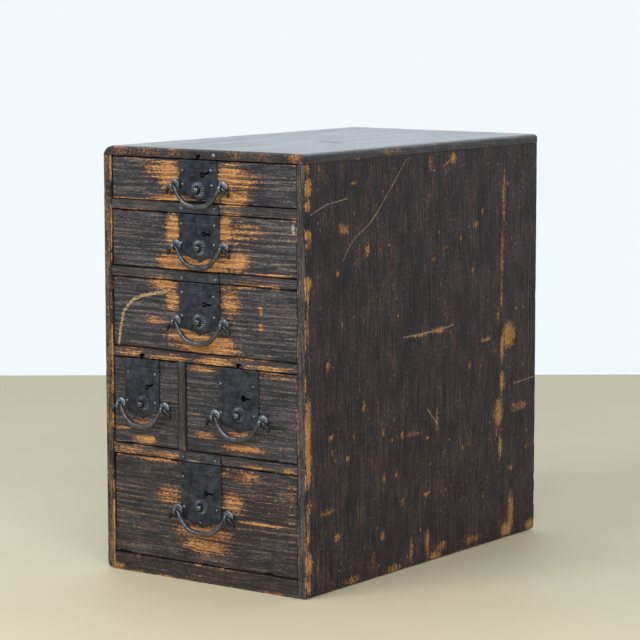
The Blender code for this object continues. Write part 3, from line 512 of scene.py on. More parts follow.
def add_iron(name, shells, look, body, node=None, sharp=50, edge=None):
    """A piece of iron from its shells, with its points' edge values where its look reads them."""
    made = add_mesh(name, *combine(shells))
    if edge is not None:
        set_values(made, "edge", edge)
    close_mesh(made)
    settle(made, look, body, node, sharp)


def cut_out(piece, cutters):
    """Cut closed shells out of a piece, and mark the walls of the cuts by their edge value, on which a
    lacquer paints shade.
    """
    tools = [add_mesh("cutter", *cutter) for cutter in cutters]
    for tool in tools:
        close_mesh(tool)
        modifier = piece.modifiers.new("cut", "BOOLEAN")
        modifier.object = tool
        modifier.operation = "DIFFERENCE"
        modifier.solver = "MANIFOLD"
    graph = bpy.context.evaluated_depsgraph_get()
    mesh = bpy.data.meshes.new_from_object(piece.evaluated_get(graph), preserve_all_data_layers=True,
                                           depsgraph=graph)
    piece.modifiers.clear()
    piece.data = mesh
    edge = np.empty(len(mesh.vertices), np.float32)
    mesh.attributes["edge"].data.foreach_get("value", edge)
    mesh.attributes["edge"].data.foreach_set("value", np.where(edge == 0, CUT_EDGE, edge).astype(np.float32))
    for tool in tools:
        bpy.data.objects.remove(tool)


# Surfaces

FACES = (("left", "right"), ("front", "back"), ("foot", "head"))


def grid_places(low, high, step):
    """Grid places along one axis: close together near both ends, with even steps between."""
    rows = EDGE_ROWS[EDGE_ROWS < (high - low) * EDGE_ROW_SHARE]
    span = high - low - 2 * rows[-1]
    inner = np.linspace(low + rows[-1], high - rows[-1], max(2, math.ceil(span / step) + 1))
    return np.concatenate((low + rows[:-1], inner, high - rows[-2::-1]))


def block_surface(places):
    """Points and outward quads of a block's surface on a grid with the given places along each axis.

    A grid point (i, j, k) has the number (i * ny + j) * nz + k, so that faces share the points on their
    edges.
    """
    counts = [len(along) for along in places]
    strides = (counts[1] * counts[2], counts[2], 1)
    quads = []
    for axis, (first, second) in enumerate(((1, 2), (2, 0), (0, 1))):
        a, b = np.meshgrid(np.arange(counts[first]), np.arange(counts[second]), indexing="ij")
        for end in (0, counts[axis] - 1):
            number = end * strides[axis] + a * strides[first] + b * strides[second]
            corners = [number[:-1, :-1], number[1:, :-1], number[1:, 1:], number[:-1, 1:]]
            if end == 0:
                corners.reverse()
            quads.append(np.stack([corner.ravel() for corner in corners], axis=1))
    used, quads = np.unique(np.concatenate(quads), return_inverse=True)
    column, rest = np.divmod(used, strides[0])
    row, level = np.divmod(rest, strides[1])
    return np.stack((places[0][column], places[1][row], places[2][level]), axis=1), quads.reshape(-1, 4)


def face_distance(points, low, high, face):
    """Distance of each point from one face of a block."""
    axis = next(k for k, pair in enumerate(FACES) if face in pair)
    if face == FACES[axis][0]:
        return points[:, axis] - low[axis]
    return high[axis] - points[:, axis]


def edge_distance(points, low, high, covered):
    """Distance of a surface point from its block's nearest edge: its second smallest distance to a face.

    Edges of the covered faces don't count.
    """
    distances = np.stack([face_distance(points, low, high, face) + (1.0 if face in covered else 0.0)
                          for face in itertools.chain(*FACES)], axis=1)
    return np.sort(distances, axis=1)[:, 1]


def wear_edges(points, low, high, radius, special, seed):
    """Wear the edges of a block round, the special ones by their own half axes.

    Across an edge, a point nearer than the radius to both faces is drawn onto a quarter ellipse about the
    middle c: p = c + (p - c) / |(p - c) / r|. Smooth noise makes the radius swell where the edge is chipped.
    """
    worn = points.copy()
    noise = waviness(points, CHIP_CELL, seed)
    swell = USUAL_ROUND + ROUND_WAVE * noise + CHIP_SWELL * smooth_step(*CHIP_NOISE, noise)
    limits = (low, high)
    for first, second in ((0, 1), (0, 2), (1, 2)):
        for ends in itertools.product((0, 1), repeat=2):
            edge = (FACES[first][ends[0]], FACES[second][ends[1]])
            reach = np.outer(swell, (radius, radius))
            if edge in special:
                reach = np.outer(1 - OWN_ROUND_WAVE + OWN_ROUND_WAVE * swell, special[edge])
            corner = np.array((limits[ends[0]][first], limits[ends[1]][second]))
            inward = np.where(ends, -1, 1)
            depth = (worn[:, (first, second)] - corner) * inward
            inside = (depth < reach).all(axis=1)
            away = 1 - depth[inside] / reach[inside]
            pull = np.minimum(1, 1 / np.maximum(np.linalg.norm(away, axis=1), 1e-9))
            moved = corner + inward * reach[inside] * (1 - away * pull[:, None])
            worn[inside, first] = moved[:, 0]
            worn[inside, second] = moved[:, 1]
    return worn


def grain_lines(points, across, along, spacing, seed):
    """Height of the raised grain, 0 in a groove and 1 on a ridge.

    Sines of the place across the grain, wide and narrow, bent and broken by noise that is drawn out along the
    grain. Only the upper part of each wave stands up, so the ridges are narrow.
    """
    broad = np.where(np.arange(3) == along, *BROAD_CELL)
    close = np.where(np.arange(3) == along, *CLOSE_CELL)
    place = (points[:, across] + GRAIN_SWAY * waviness(points, broad, seed, 2)) / spacing
    place += WIDE_SHIFT * waviness(points, close, seed + 3, 2)
    wide = smooth_step(WIDE_START, 1.0, 0.5 + 0.5 * np.sin(math.tau * place))
    place = place / NARROW_SPACING + NARROW_SHIFT * waviness(points, close, seed + 4, 2)
    narrow = smooth_step(NARROW_START, 1.0, 0.5 + 0.5 * np.sin(math.tau * place))
    mean, spread, least = WIDE_STRENGTH
    strength = np.clip(mean + spread * waviness(points, broad, seed + 5, 3), least, 1)
    most, loss = NARROW_STRENGTH
    return np.clip(wide * strength + narrow * (most - loss * strength), 0, 1)


def sink_grain(points, low, high, face, along, spacing, depth, seed):
    """Sink the grooves between the grain lines of one face, let the face warp, and give the grain's height.

    The depth fades behind the face.
    """
    axis = next(k for k, pair in enumerate(FACES) if face in pair)
    inward = 1 if face == FACES[axis][0] else -1
    run = "xyz".index(along)
    lines = grain_lines(points, 3 - axis - run, run, spacing, seed)
    warp = 0.5 + 0.5 * waviness(points, WARP_CELL, seed + 7, 2)
    fade = 1 - smooth_step(0, FACE_FADE, face_distance(points, low, high, face))
    points[:, axis] += inward * (depth * (1 - lines) + WARP_DEPTH * warp) * fade
    return lines


def rubbed(points, spots):
    """How far the lacquer is rubbed off at each point.

    A spot gives its strength at its middle, half of it at its reach and nothing from 1.5 times its reach on.
    """
    total = np.zeros(len(points))
    for middle, reach, strength in spots:
        away = np.linalg.norm((points - np.array(middle)) / np.array(reach), axis=1)
        total = np.maximum(total, strength * np.clip(1.5 - away, 0, 1))
    return total


def worn_board(node, box, seed, along, steps, radius, covered, raw, carved, spots=(), shield=None):
    """A board in a node's place: a block's surface with rounded, chipped edges and sunk grain.

    Stores the distance to the nearest edge, how far each point belongs to the raw, unlacquered faces, the
    height of the grain and how far the lacquer is rubbed off. Nothing is rubbed off behind the shield, a box
    of which x and z count.
    """
    low, high = np.array(box)
    points, quads = block_surface([grid_places(*span) for span in zip(low, high, steps)])
    edge = edge_distance(points, low, high, covered)
    bare = np.zeros(len(points))
    for face in raw:
        others = [other for other in itertools.chain(*FACES) if other != face]
        inside = np.min([face_distance(points, low, high, other) for other in others], axis=0)
        on_face = face_distance(points, low, high, face) < 1e-6
        bare = np.maximum(bare, on_face * smooth_step(0, FACE_FADE, inside))
    bare *= smooth_step(*RAW_START, points[:, 1] - FRONT_Y)
    worn = wear_edges(points, low, high, radius, WORN_EDGES.get(node, {}), seed)
    face, spacing, depth = carved
    lines = sink_grain(worn, low, high, face, along, spacing, depth, seed + 20)
    rub = rubbed(points, spots)
    if shield:
        middle = (np.array(shield[0]) + np.array(shield[1])) / 2
        outside = np.abs(points - middle) - (np.array(shield[1]) - middle)
        rub *= smooth_step(*SHIELD_RIM, outside[:, (0, 2)].max(axis=1))
    made = add_mesh(node + "_worn", worn, quads)
    set_values(made, "grain", lines)
    set_values(made, "edge", np.maximum(edge, LEAST_EDGE))
    set_values(made, "raw", bare)
    set_values(made, "rub", rub)
    return made


def grid_faces(rows, columns, wrap=False):
    """Quads of a grid of points given row by row; wrap joins the last column to the first."""
    number = np.arange(rows * columns).reshape(rows, columns)
    if wrap:
        number = np.concatenate((number, number[:, :1]), axis=1)
    corners = (number[:-1, :-1], number[:-1, 1:], number[1:, 1:], number[1:, :-1])
    return np.stack([corner.ravel() for corner in corners], axis=1)


def turned(profile, centre, sides):
    """Spin (radius, y) pairs about an axis along Y through (x, z): x + r cos a, y, z + r sin a."""
    radius, y = np.array(profile).T
    angles = np.arange(sides) * math.tau / sides
    x = centre[0] + np.outer(radius, np.cos(angles))
    z = centre[1] + np.outer(radius, np.sin(angles))
    points = np.stack((x, np.repeat(y[:, None], sides, axis=1), z), axis=-1).reshape(-1, 3)
    return points, grid_faces(len(profile), sides, wrap=True)


def domed(radius, rim, rise, steps=6):
    """Profile of a dome facing -Y from its crown to its rim: r sin a, rim - rise cos a."""
    angles = np.linspace(0, math.pi / 2, steps + 1)
    return list(zip(radius * np.sin(angles), rim - rise * np.cos(angles)))


def nail(centre, face, radius=NAIL_RADIUS, rise=NAIL_RISE):
    """A nail's domed head on a face, closed a little behind it."""
    profile = domed(radius, face, rise, 4) + [(radius, face + NAIL_SUNK), (0, face + NAIL_SUNK)]
    return turned(profile, centre, SMALL_SIDES)


def rod_shell(centre, radius, front, back, sides=ROD_SIDES):
    """A straight round rod along Y."""
    return turned([(0, front), (radius, front), (radius, back), (0, back)], centre, sides)


def block_shell(low, high):
    """A plain block, for cutting."""
    return block_surface([np.array(span) for span in zip(low, high)])


def slab(front, back):
    """Close two equal grids of points into one shell: both faces and a rim between their outlines."""
    rows, columns = front.shape[:2]
    count = rows * columns
    number = np.arange(count).reshape(rows, columns)
    faces = grid_faces(rows, columns)
    loop = np.concatenate((number[0, :-1], number[:-1, -1], number[-1, :0:-1], number[:0:-1, 0]))
    following = np.roll(loop, -1)
    rim = np.stack((loop, following, following + count, loop + count), axis=1)
    points = np.concatenate((front.reshape(-1, 3), back.reshape(-1, 3)))
    return points, np.concatenate((faces[:, ::-1], faces + count, rim))


def smooth_curve(points, count):
    """Points spaced along a Catmull-Rom curve through the given points."""
    given = np.array(points)
    padded = np.vstack((2 * given[0] - given[1], given, 2 * given[-1] - given[-2]))
    at = np.linspace(0, len(given) - 1, count)
    k = np.minimum(at.astype(int), len(given) - 2)
    t = (at - k)[:, None]
    a, b, c, d = padded[k], padded[k + 1], padded[k + 2], padded[k + 3]
    curved = (2 * a - 5 * b + 4 * c - d) * t ** 2 + (3 * b - a - 3 * c + d) * t ** 3
    return b + ((c - a) * t + curved) / 2


def tube(path, radii, sides):
    """Carry a circle along a path: each ring lies across the path, about its point, with its own radius."""
    along = np.gradient(path, axis=0)
    along /= np.linalg.norm(along, axis=1)[:, None]
    out = np.array((0, 1, 0)) - along * along[:, 1:2]
    out /= np.linalg.norm(out, axis=1)[:, None]
    up = np.cross(along, out)
    turn = np.arange(sides) * math.tau / sides
    ring = np.cos(turn)[:, None] * out[:, None] + np.sin(turn)[:, None] * up[:, None]
    points = path[:, None] + radii[:, None, None] * ring
    return points.reshape(-1, 3), grid_faces(len(path), sides, wrap=True)


# Materials

FLOAT = "NodeSocketFloat"
VECTOR = "NodeSocketVector"
COLOUR = "NodeSocketColor"
SURFACE = {COLOUR: ("Color",), FLOAT: ("Roughness", "Height")}
GRAIN_PARTS = ("Lines", "Fibre", "Speck", "Blotch")
GRAIN_BEND = 0.010

# Colours of the worn lacquer on the drawer fronts, by the inputs of its shader group
FRONT_TINTS = {
    "Lacquer": (0.0135, 0.0138, 0.0195, 1), "Warm": (0.060, 0.051, 0.059, 1),
    "Ridge": (0.172, 0.162, 0.170, 1), "Thin": (0.165, 0.068, 0.028, 1),
    "Bare Light": (0.72, 0.360, 0.125, 1), "Bare Dark": (0.24, 0.092, 0.030, 1),
    "Scratched": (0.50, 0.33, 0.145, 1), "Raw Wood": (0.23, 0.150, 0.085, 1),
}
# Colours that differ from them on the other boards
SIDE_TINTS = {
    "Lacquer": (0.0092, 0.0092, 0.0132, 1), "Warm": (0.050, 0.029, 0.031, 1),
    "Ridge": (0.084, 0.060, 0.061, 1), "Thin": (0.095, 0.038, 0.023, 1),
    "Bare Light": (0.64, 0.345, 0.118, 1), "Bare Dark": (0.22, 0.092, 0.030, 1),
    "Scratched": (0.34, 0.255, 0.150, 1),
}
FOOT_TINTS = {"Lacquer": (0.013, 0.0105, 0.0112, 1), "Warm": (0.055, 0.037, 0.032, 1),
              "Ridge": (0.100, 0.074, 0.062, 1)}
RAIL_TINTS = {"Lacquer": (0.020, 0.0185, 0.0215, 1), "Warm": (0.090, 0.073, 0.072, 1),
              "Ridge": (0.180, 0.158, 0.152, 1)}
LOW_TINTS = {"Lacquer": (0.0120, 0.0105, 0.0132, 1), "Warm": (0.056, 0.039, 0.040, 1),
             "Ridge": (0.138, 0.116, 0.112, 1)}
TOP_TINTS = {"Lacquer": (0.0095, 0.0090, 0.0115, 1), "Warm": (0.043, 0.032, 0.031, 1),
             "Ridge": (0.082, 0.066, 0.062, 1)}
SCUFF_TINTS = {"Scratched": (0.36, 0.39, 0.41, 1)}
TICKS = (0.25, 0.215, 0.180, 1)
# Painted shade along the boards' edges and in the gaps between parts: its colour, and how far from an edge it
# reaches
EDGE_SHADE = (0.004, 0.003, 0.003, 1)
EDGE_SHADE_REACH = 0.0015
# Painted shade on the walls of holes, pockets and notches cut into the lacquered boards
CUT_WALL_SHADE = (0.008, 0.006, 0.005, 1)
BLACK = (0, 0, 0, 1)
# Unlacquered wood: light and dark
BOX_WOOD = ((0.40, 0.255, 0.130, 1), (0.20, 0.115, 0.055, 1))
BACK_WOOD = ((0.22, 0.140, 0.075, 1), (0.085, 0.050, 0.028, 1))
# Iron: dark, light and rusty
LOCK_IRON = ((0.021, 0.027, 0.041, 1), (0.084, 0.094, 0.124, 1), (0.085, 0.066, 0.056, 1))
KEEPER_IRON = ((0.042, 0.047, 0.060, 1), (0.135, 0.142, 0.160, 1), (0.080, 0.058, 0.046, 1))
BAIL_IRON = ((0.064, 0.067, 0.075, 1), (0.172, 0.177, 0.192, 1), (0.085, 0.060, 0.047, 1))
WASHER_IRON = ((0.105, 0.114, 0.130, 1), (0.270, 0.287, 0.315, 1), (0.090, 0.070, 0.058, 1))
BUTTON_IRON = ((0.090, 0.094, 0.106, 1), (0.145, 0.151, 0.167, 1), (0.080, 0.066, 0.057, 1))
NAIL_IRON = ((0.110, 0.118, 0.132, 1), (0.270, 0.284, 0.310, 1), (0.080, 0.064, 0.053, 1))
BOLT_IRON = ((0.055, 0.056, 0.060, 1), (0.130, 0.128, 0.128, 1), (0.085, 0.055, 0.040, 1))
# Painted highlight on the lock plates: on the rosettes' flute crests and along the strips
IRON_HIGHLIGHT = (0.40, 0.41, 0.43, 1)
PALE_CRUST = (0.50, 0.47, 0.40, 1)
# Painted shade on the bails' tips
PAINTED_TIP_SHADE = (0.011, 0.012, 0.015, 1)
# Strength and depth of the bumps; iron has a strength for each look
LACQUER_BUMP = (0.35, 0.0008)
WOOD_BUMP = (0.3, 0.0006)
IRON_BUMP = 0.0006


class Graph:
    """Short ways to add nodes to one node tree and join them."""

    def __init__(self, tree):
        self.tree = tree

    def fill(self, node, values):
        """Set a node's inputs: a socket is joined to its input, a plain value is stored in it."""
        for name, value in values.items():
            if isinstance(value, bpy.types.NodeSocket):
                self.tree.links.new(value, node.inputs[name])
            else:
                node.inputs[name].default_value = value

    def node(self, kind, values=None, **settings):
        """A new node with its settings and inputs."""
        made = self.tree.nodes.new(kind)
        for name, value in settings.items():
            setattr(made, name, value)
        self.fill(made, values or {})
        return made

    def math(self, operation, first, second=0.0, clamp=False):
        """A sum with two values."""
        made = self.node("ShaderNodeMath", {0: first, 1: second}, operation=operation, use_clamp=clamp)
        return made.outputs[0]

    def vector(self, operation, first, second=(0, 0, 0)):
        """A sum with two vectors; a value in the place of one stands for all its parts."""
        made = self.node("ShaderNodeVectorMath", {0: first, 1: second}, operation=operation)
        return made.outputs["Value" if operation in ("DOT_PRODUCT", "LENGTH") else "Vector"]

    def noise(self, place, stretch, detail=2.0, roughness=0.5):
        """Noise whose cells are 1 / stretch long in each direction."""
        wide = self.vector("MULTIPLY", place, stretch)
        values = {"Vector": wide, "Scale": 1.0, "Detail": detail, "Roughness": roughness}
        return self.node("ShaderNodeTexNoise", values).outputs[0]

    def weigh(self, *pairs):
        """The sum of weight * (value - 0.5) over the pairs of a value and its weight."""
        total = -0.5 * sum(weight for value, weight in pairs)
        for value, weight in pairs:
            made = self.node("ShaderNodeMath", {0: value, 1: weight, 2: total}, operation="MULTIPLY_ADD")
            total = made.outputs[0]
        return total

    def rise(self, value, low, high, to_low=0.0, to_high=1.0):
        """A smooth step between two values of the input."""
        made = self.node("ShaderNodeMapRange", {0: value, 1: low, 2: high, 3: to_low, 4: to_high},
                         interpolation_type="SMOOTHSTEP")
        return made.outputs[0]

    def blend(self, factor, first, second):
        """Mix two colours."""
        made = self.node("ShaderNodeMix", {0: factor, 6: first, 7: second}, data_type="RGBA")
        return made.outputs[2]

    def group(self, tree, values):
        """What a group gives for its inputs."""
        return self.node("ShaderNodeGroup", values, node_tree=tree).outputs


def new_group(name, inputs, outputs):
    """A shader group with sockets given as titles under their kind: its graph and its inputs."""
    tree = bpy.data.node_groups.new(name, "ShaderNodeTree")
    for way, sockets in (("INPUT", inputs), ("OUTPUT", outputs)):
        for kind, titles in sockets.items():
            for title in titles:
                tree.interface.new_socket(title, in_out=way, socket_type=kind)
    graph = Graph(tree)
    return graph, graph.node("NodeGroupInput").outputs


def wood_grain_group():
    """Grain of a board whose first coordinate runs along the wood: growth lines, fibres, specks, blotches."""
    graph, given = new_group("wood grain", {VECTOR: ("Place",)}, {FLOAT: GRAIN_PARTS})
    place = given["Place"]
    bend = graph.noise(place, (9, 14, 14), 1.0)
    bent = graph.vector("ADD", place, graph.vector("MULTIPLY", bend, (0, GRAIN_BEND, GRAIN_BEND)))
    graph.node("NodeGroupOutput", {
        "Lines": graph.noise(bent, (18, 640, 640), 3.0, 0.65),
        "Fibre": graph.noise(bent, (60, 1500, 1500), 2.0, 0.6),
        "Speck": graph.noise(place, (260, 620, 620), 3.0, 0.65),
        "Blotch": graph.noise(place, (28, 45, 45), 3.0, 0.6),
    })
    return graph.tree


def scratch_group():
    """A scratch from one point to another, laid over those before it.

    It is 1 on the line and falls to 0 at its half width.
    """
    inputs = {VECTOR: ("Place", "From", "To"), FLOAT: ("Before", "Half Width")}
    graph, given = new_group("scratch", inputs, {FLOAT: ("Value",)})
    along = graph.vector("SUBTRACT", given["To"], given["From"])
    away = graph.vector("SUBTRACT", given["Place"], given["From"])
    reach = graph.vector("DOT_PRODUCT", away, along)
    share = graph.math("DIVIDE", reach, graph.vector("DOT_PRODUCT", along, along), clamp=True)
    gap = graph.vector("LENGTH", graph.vector("SUBTRACT", away, graph.vector("MULTIPLY", along, share)))
    value = graph.math("SUBTRACT", 1.0, graph.math("DIVIDE", gap, given["Half Width"]), clamp=True)
    graph.node("NodeGroupOutput", {"Value": graph.math("MAXIMUM", value, given["Before"])})
    return graph.tree


def worn_lacquer_group(grain):
    """Lacquer over wood, rubbed through in patches, along the grain and at the edges.

    The rub, the nearness of an edge and the grain add up; where they pass a threshold the bare wood shows.
    """
    values = ("Grain", "Rub", "Scratch", "Edge", "Raw", "Edge Reach", "Edge Wear", "Ridges", "Chips")
    inputs = {VECTOR: ("Place",), FLOAT: values, COLOUR: FRONT_TINTS}
    graph, given = new_group("worn lacquer", inputs, SURFACE)
    wood = graph.group(grain, {"Place": given["Place"]})
    lines, fibre, speck, blotch = (wood[title] for title in GRAIN_PARTS)
    uneven = graph.math("ADD", blotch, graph.math("MULTIPLY", given["Edge Wear"], 0.3))
    near_edge = graph.math("DIVIDE", given["Edge"], given["Edge Reach"])
    near_edge = graph.math("SUBTRACT", 1.0, near_edge, clamp=True)
    near_edge = graph.math("MULTIPLY", near_edge, graph.rise(uneven, 0.60, 0.70, 0.1, 0.9))
    broken = graph.weigh((speck, 1.9), (lines, 1.0), (blotch, 0.7), (given["Grain"], 0.45))
    field = graph.math("ADD", graph.math("MAXIMUM", given["Rub"], near_edge), broken)
    thin = graph.math("MULTIPLY", graph.rise(field, 0.13, 0.56), 0.8)
    flakes = graph.weigh((graph.noise(given["Place"], (130, 210, 210), 2.5, 0.62), 1.0), (blotch, 0.35))
    chips = graph.math("MULTIPLY", graph.rise(flakes, 0.205, 0.250), given["Chips"])
    bare = graph.math("MAXIMUM", graph.rise(field, 0.28, 0.92), chips)
    warm = graph.rise(graph.weigh((blotch, 0.6), (lines, 1.7), (fibre, 1.0)), -0.24, 0.46)
    ridge = graph.weigh((given["Grain"], 0.62), (lines, 1.3), (speck, 2.0), (blotch, 0.7))
    ridge = graph.math("MULTIPLY", graph.rise(ridge, -0.22, 0.62), given["Ridges"])
    dashed = graph.math("MULTIPLY", given["Scratch"], graph.rise(speck, 0.38, 0.54, 0.22, 1.0))
    tone = graph.weigh((fibre, 1.0), (lines, 1.0), (speck, 0.8), (given["Grain"], 0.25))
    bare_wood = graph.blend(graph.rise(tone, -0.34, 0.40), given["Bare Dark"], given["Bare Light"])
    raw_wood_tone = graph.blend(graph.rise(tone, -0.4, 0.4, 0.5, 1.0), BLACK, given["Raw Wood"])
    # The layers include painted shade: along every edge, and on the walls of cuts
    colour = given["Lacquer"]
    for share, layer in ((warm, given["Warm"]), (ridge, given["Ridge"]), (thin, given["Thin"]),
                         (graph.rise(speck, 0.64, 0.75, 0.0, 0.7), TICKS),
                         # painted shade near every edge, darkest on the edge itself
                         (graph.rise(given["Edge"], 0.0, EDGE_SHADE_REACH, 0.75, 0.0), EDGE_SHADE),
                         (bare, bare_wood), (graph.rise(dashed, 0.05, 0.45, 0.0, 0.9), given["Scratched"]),
                         # painted shade on the walls of cuts
                         (graph.rise(given["Edge"], 0.4 * CUT_EDGE, 0.6 * CUT_EDGE), CUT_WALL_SHADE),
                         (given["Raw"], raw_wood_tone)):
        colour = graph.blend(share, colour, layer)
    rough = graph.rise(graph.math("MAXIMUM", bare, given["Raw"]), 0.0, 1.0, 0.42, 0.74)
    rough = graph.math("SUBTRACT", rough, graph.math("MULTIPLY", ridge, 0.06))
    height = graph.weigh((lines, 1.0), (speck, 0.7), (fibre, 0.5), (bare, -0.35))
    graph.node("NodeGroupOutput", {"Color": colour, "Roughness": rough, "Height": height})
    return graph.tree


def forged_iron_group():
    """Forged iron: hammer marks, fine pits, dull cloudy scale and a colour of its own near its edges."""
    inputs = {VECTOR: ("Place",), FLOAT: ("Edge", "Polish"), COLOUR: ("Dark", "Light", "Rust", "Edge Color")}
    graph, given = new_group("forged iron", inputs, SURFACE)
    place = given["Place"]
    dents = graph.noise(place, (230, 230, 230), 1.0)
    pits = graph.noise(place, (1400, 1400, 1400), 2.0, 0.6)
    cloud = graph.noise(place, (110, 110, 130), 4.0, 0.65)
    streak = graph.noise(place, (300, 300, 45), 2.0, 0.6)
    scale = graph.weigh((cloud, 1.0), (streak, 0.18), (pits, 0.35))
    colour = graph.blend(graph.rise(scale, -0.20, 0.24), given["Dark"], given["Light"])
    rusty = graph.math("MULTIPLY", graph.rise(pits, 0.52, 0.72), graph.rise(cloud, 0.35, 0.62, 0.8, 0.1))
    colour = graph.blend(rusty, colour, given["Rust"])
    # The edge colour: painted highlight on the lock plates, painted shade on the bails' tips, pale crust on
    # the keepers
    near_edge = graph.rise(given["Edge"], 0.0, IRON_EDGE, 0.9, 0.0)
    near_edge = graph.math("MULTIPLY", near_edge, graph.rise(pits, 0.35, 0.6, 0.4, 1.0))
    colour = graph.blend(near_edge, colour, given["Edge Color"])
    rough = graph.math("ADD", graph.rise(pits, 0.3, 0.7, 0.30, 0.50), graph.math("MULTIPLY", rusty, 0.15))
    rough = graph.math("SUBTRACT", rough, given["Polish"])
    height = graph.math("ADD", dents, graph.math("MULTIPLY", pits, 0.30))
    graph.node("NodeGroupOutput", {"Color": colour, "Roughness": rough, "Height": height})
    return graph.tree


wood_grain = wood_grain_group()
scratch_line = scratch_group()
worn_lacquer = worn_lacquer_group(wood_grain)
forged_iron = forged_iron_group()


def new_material(name):
    """A new material, its graph and its shader."""
    made = bpy.data.materials.new(name)
    made.use_nodes = True
    return made, Graph(made.node_tree), made.node_tree.nodes["Principled BSDF"]


def grain_place(graph, grain):
    """Object coordinates, and the same with the direction of the grain first."""
    place = graph.node("ShaderNodeTexCoord").outputs["Object"]
    parts = graph.node("ShaderNodeSeparateXYZ", {"Vector": place}).outputs
    order = {"x": "XYZ", "y": "YZX", "z": "ZXY"}[grain]
    turned_place = graph.node("ShaderNodeCombineXYZ", dict(zip("XYZ", [parts[axis] for axis in order])))
    return place, turned_place.outputs[0]


def attribute(graph, name):
    """A value that is stored for each point of a piece."""
    return graph.node("ShaderNodeAttribute", attribute_name=name).outputs["Fac"]


def finish_surface(graph, shader, outputs, bump, distance):
    """Join a colour, a roughness and a height to the shader."""
    bumps = {"Height": outputs["Height"], "Strength": bump, "Distance": distance}
    graph.fill(shader, {"Base Color": outputs["Color"], "Roughness": outputs["Roughness"],
                        "Normal": graph.node("ShaderNodeBump", bumps).outputs["Normal"]})


def lacquered(name, grain, edge_reach, edge_wear, ridges, tints, scratches=(), combed=True, sheen=False,
              front=None):
    """Worn lacquer on a board: its own edge wear, colours and scratches, combed by its raised grain or not.

    A board with front tints takes them on where its value "front" is 1.
    """
    made, graph, shader = new_material(name)
    place, along = grain_place(graph, grain)
    scratched = 0.0
    for width, points in scratches:
        for start, stop in zip(points, points[1:]):
            line = {"Before": scratched, "Place": place, "From": start, "To": stop, "Half Width": width}
            scratched = graph.group(scratch_line, line)["Value"]
    values = {"Place": along, "Scratch": scratched, "Edge Reach": edge_reach, "Edge Wear": edge_wear,
              "Ridges": ridges, "Grain": 0.5, "Chips": 0.8}
    if combed:
        values.update({"Grain": attribute(graph, "grain"), "Chips": 0.0})
    values.update({title: attribute(graph, title.lower()) for title in ("Rub", "Edge", "Raw")})
    values.update(FRONT_TINTS)
    values.update(tints)
    if front:
        facing = attribute(graph, "front")
        values.update({title: graph.blend(facing, values[title], tint) for title, tint in front.items()})
    finish_surface(graph, shader, graph.group(worn_lacquer, values), *LACQUER_BUMP)
    graph.fill(shader, {"Specular IOR Level": 0.4 if combed or sheen else 0.15})
    if sheen:
        graph.fill(shader, {"Coat Weight": attribute(graph, "sheen"), "Coat Roughness": 0.25})
    return made


def raw_wood(name, grain, light, dark):
    """Plain unlacquered wood, darkened by age."""
    made, graph, shader = new_material(name)
    wood = graph.group(wood_grain, {"Place": grain_place(graph, grain)[1]})
    tone = graph.math("MULTIPLY", wood["Fibre"], 0.4)
    tone = graph.math("ADD", graph.math("MULTIPLY", wood["Lines"], 0.6), tone)
    colour = graph.blend(graph.rise(tone, 0.32, 0.66), dark, light)
    colour = graph.blend(graph.rise(wood["Blotch"], 0.45, 0.75, 0.0, 0.45), colour, dark)
    rough = graph.rise(wood["Fibre"], 0.3, 0.7, 0.62, 0.82)
    finish_surface(graph, shader, {"Color": colour, "Roughness": rough, "Height": tone}, *WOOD_BUMP)
    return made


def iron(name, dark, light, rust, bump, polish, edge_colour=None):
    """Forged iron in its own colours; a piece with an edge colour has it where its edge value is small."""
    made, graph, shader = new_material(name)
    values = {"Place": graph.node("ShaderNodeTexCoord").outputs["Object"], "Edge": 1.0, "Polish": polish,
              "Dark": dark, "Light": light, "Rust": rust}
    if edge_colour:
        values.update({"Edge": attribute(graph, "edge"), "Edge Color": edge_colour})
    finish_surface(graph, shader, graph.group(forged_iron, values), bump, IRON_BUMP)
    graph.fill(shader, {"Metallic": 0.85})
    return made


def front_spots(rubs):
    """Rubbed places on the chest's front as middle, reach and strength."""
    return [((x, FRONT_Y, z), (wide, FRONT_RUB_DEPTH, tall), strength) for x, z, wide, tall, strength in rubs]


def side_lines(x, scratches):
    """Scratches on a side as half width and points."""
    return [(width, [(x, y, z) for y, z in points]) for width, points in scratches]


def front_line(points):
    """A scratch on the chest's front as half width and points."""
    return [(FRONT_SCRATCH_HALF, [(x, FRONT_Y, z) for x, z in points])]


right_rubs = [((SIDE_X, y, z), (SIDE_RUB_DEPTH, wide, tall), strength)
              for y, z, wide, tall, strength in SIDE_RUBS]
right_rubs += [((SIDE_X, FRONT_Y + CHIP_INSET, z), (CHIP_DEPTH, CHIP_WIDTH * strength ** CHIP_POWER, tall),
                strength) for z, tall, strength in FRONT_CHIPS]
left_rubs = [((-SIDE_X, LEFT_TURN[0] - y, LEFT_TURN[1] - z), (SIDE_RUB_DEPTH, wide, tall),
              strength * LEFT_WEAR) for y, z, wide, tall, strength in SIDE_RUBS[LEFT_SHARE]]
left_rubs.append(LEFT_FRONT_RUB)
top_rubs = [((x, FRONT_Y, TOP_RUB_Z), (wide, *TOP_RUB_REACH), strength) for x, wide, strength in TOP_RUBS]
top_rubs += [((SIDE_X, y, TOP_END_Z), (TOP_END_REACH[0], wide, TOP_END_REACH[1]), strength)
             for y, wide, strength in TOP_END_RUBS]

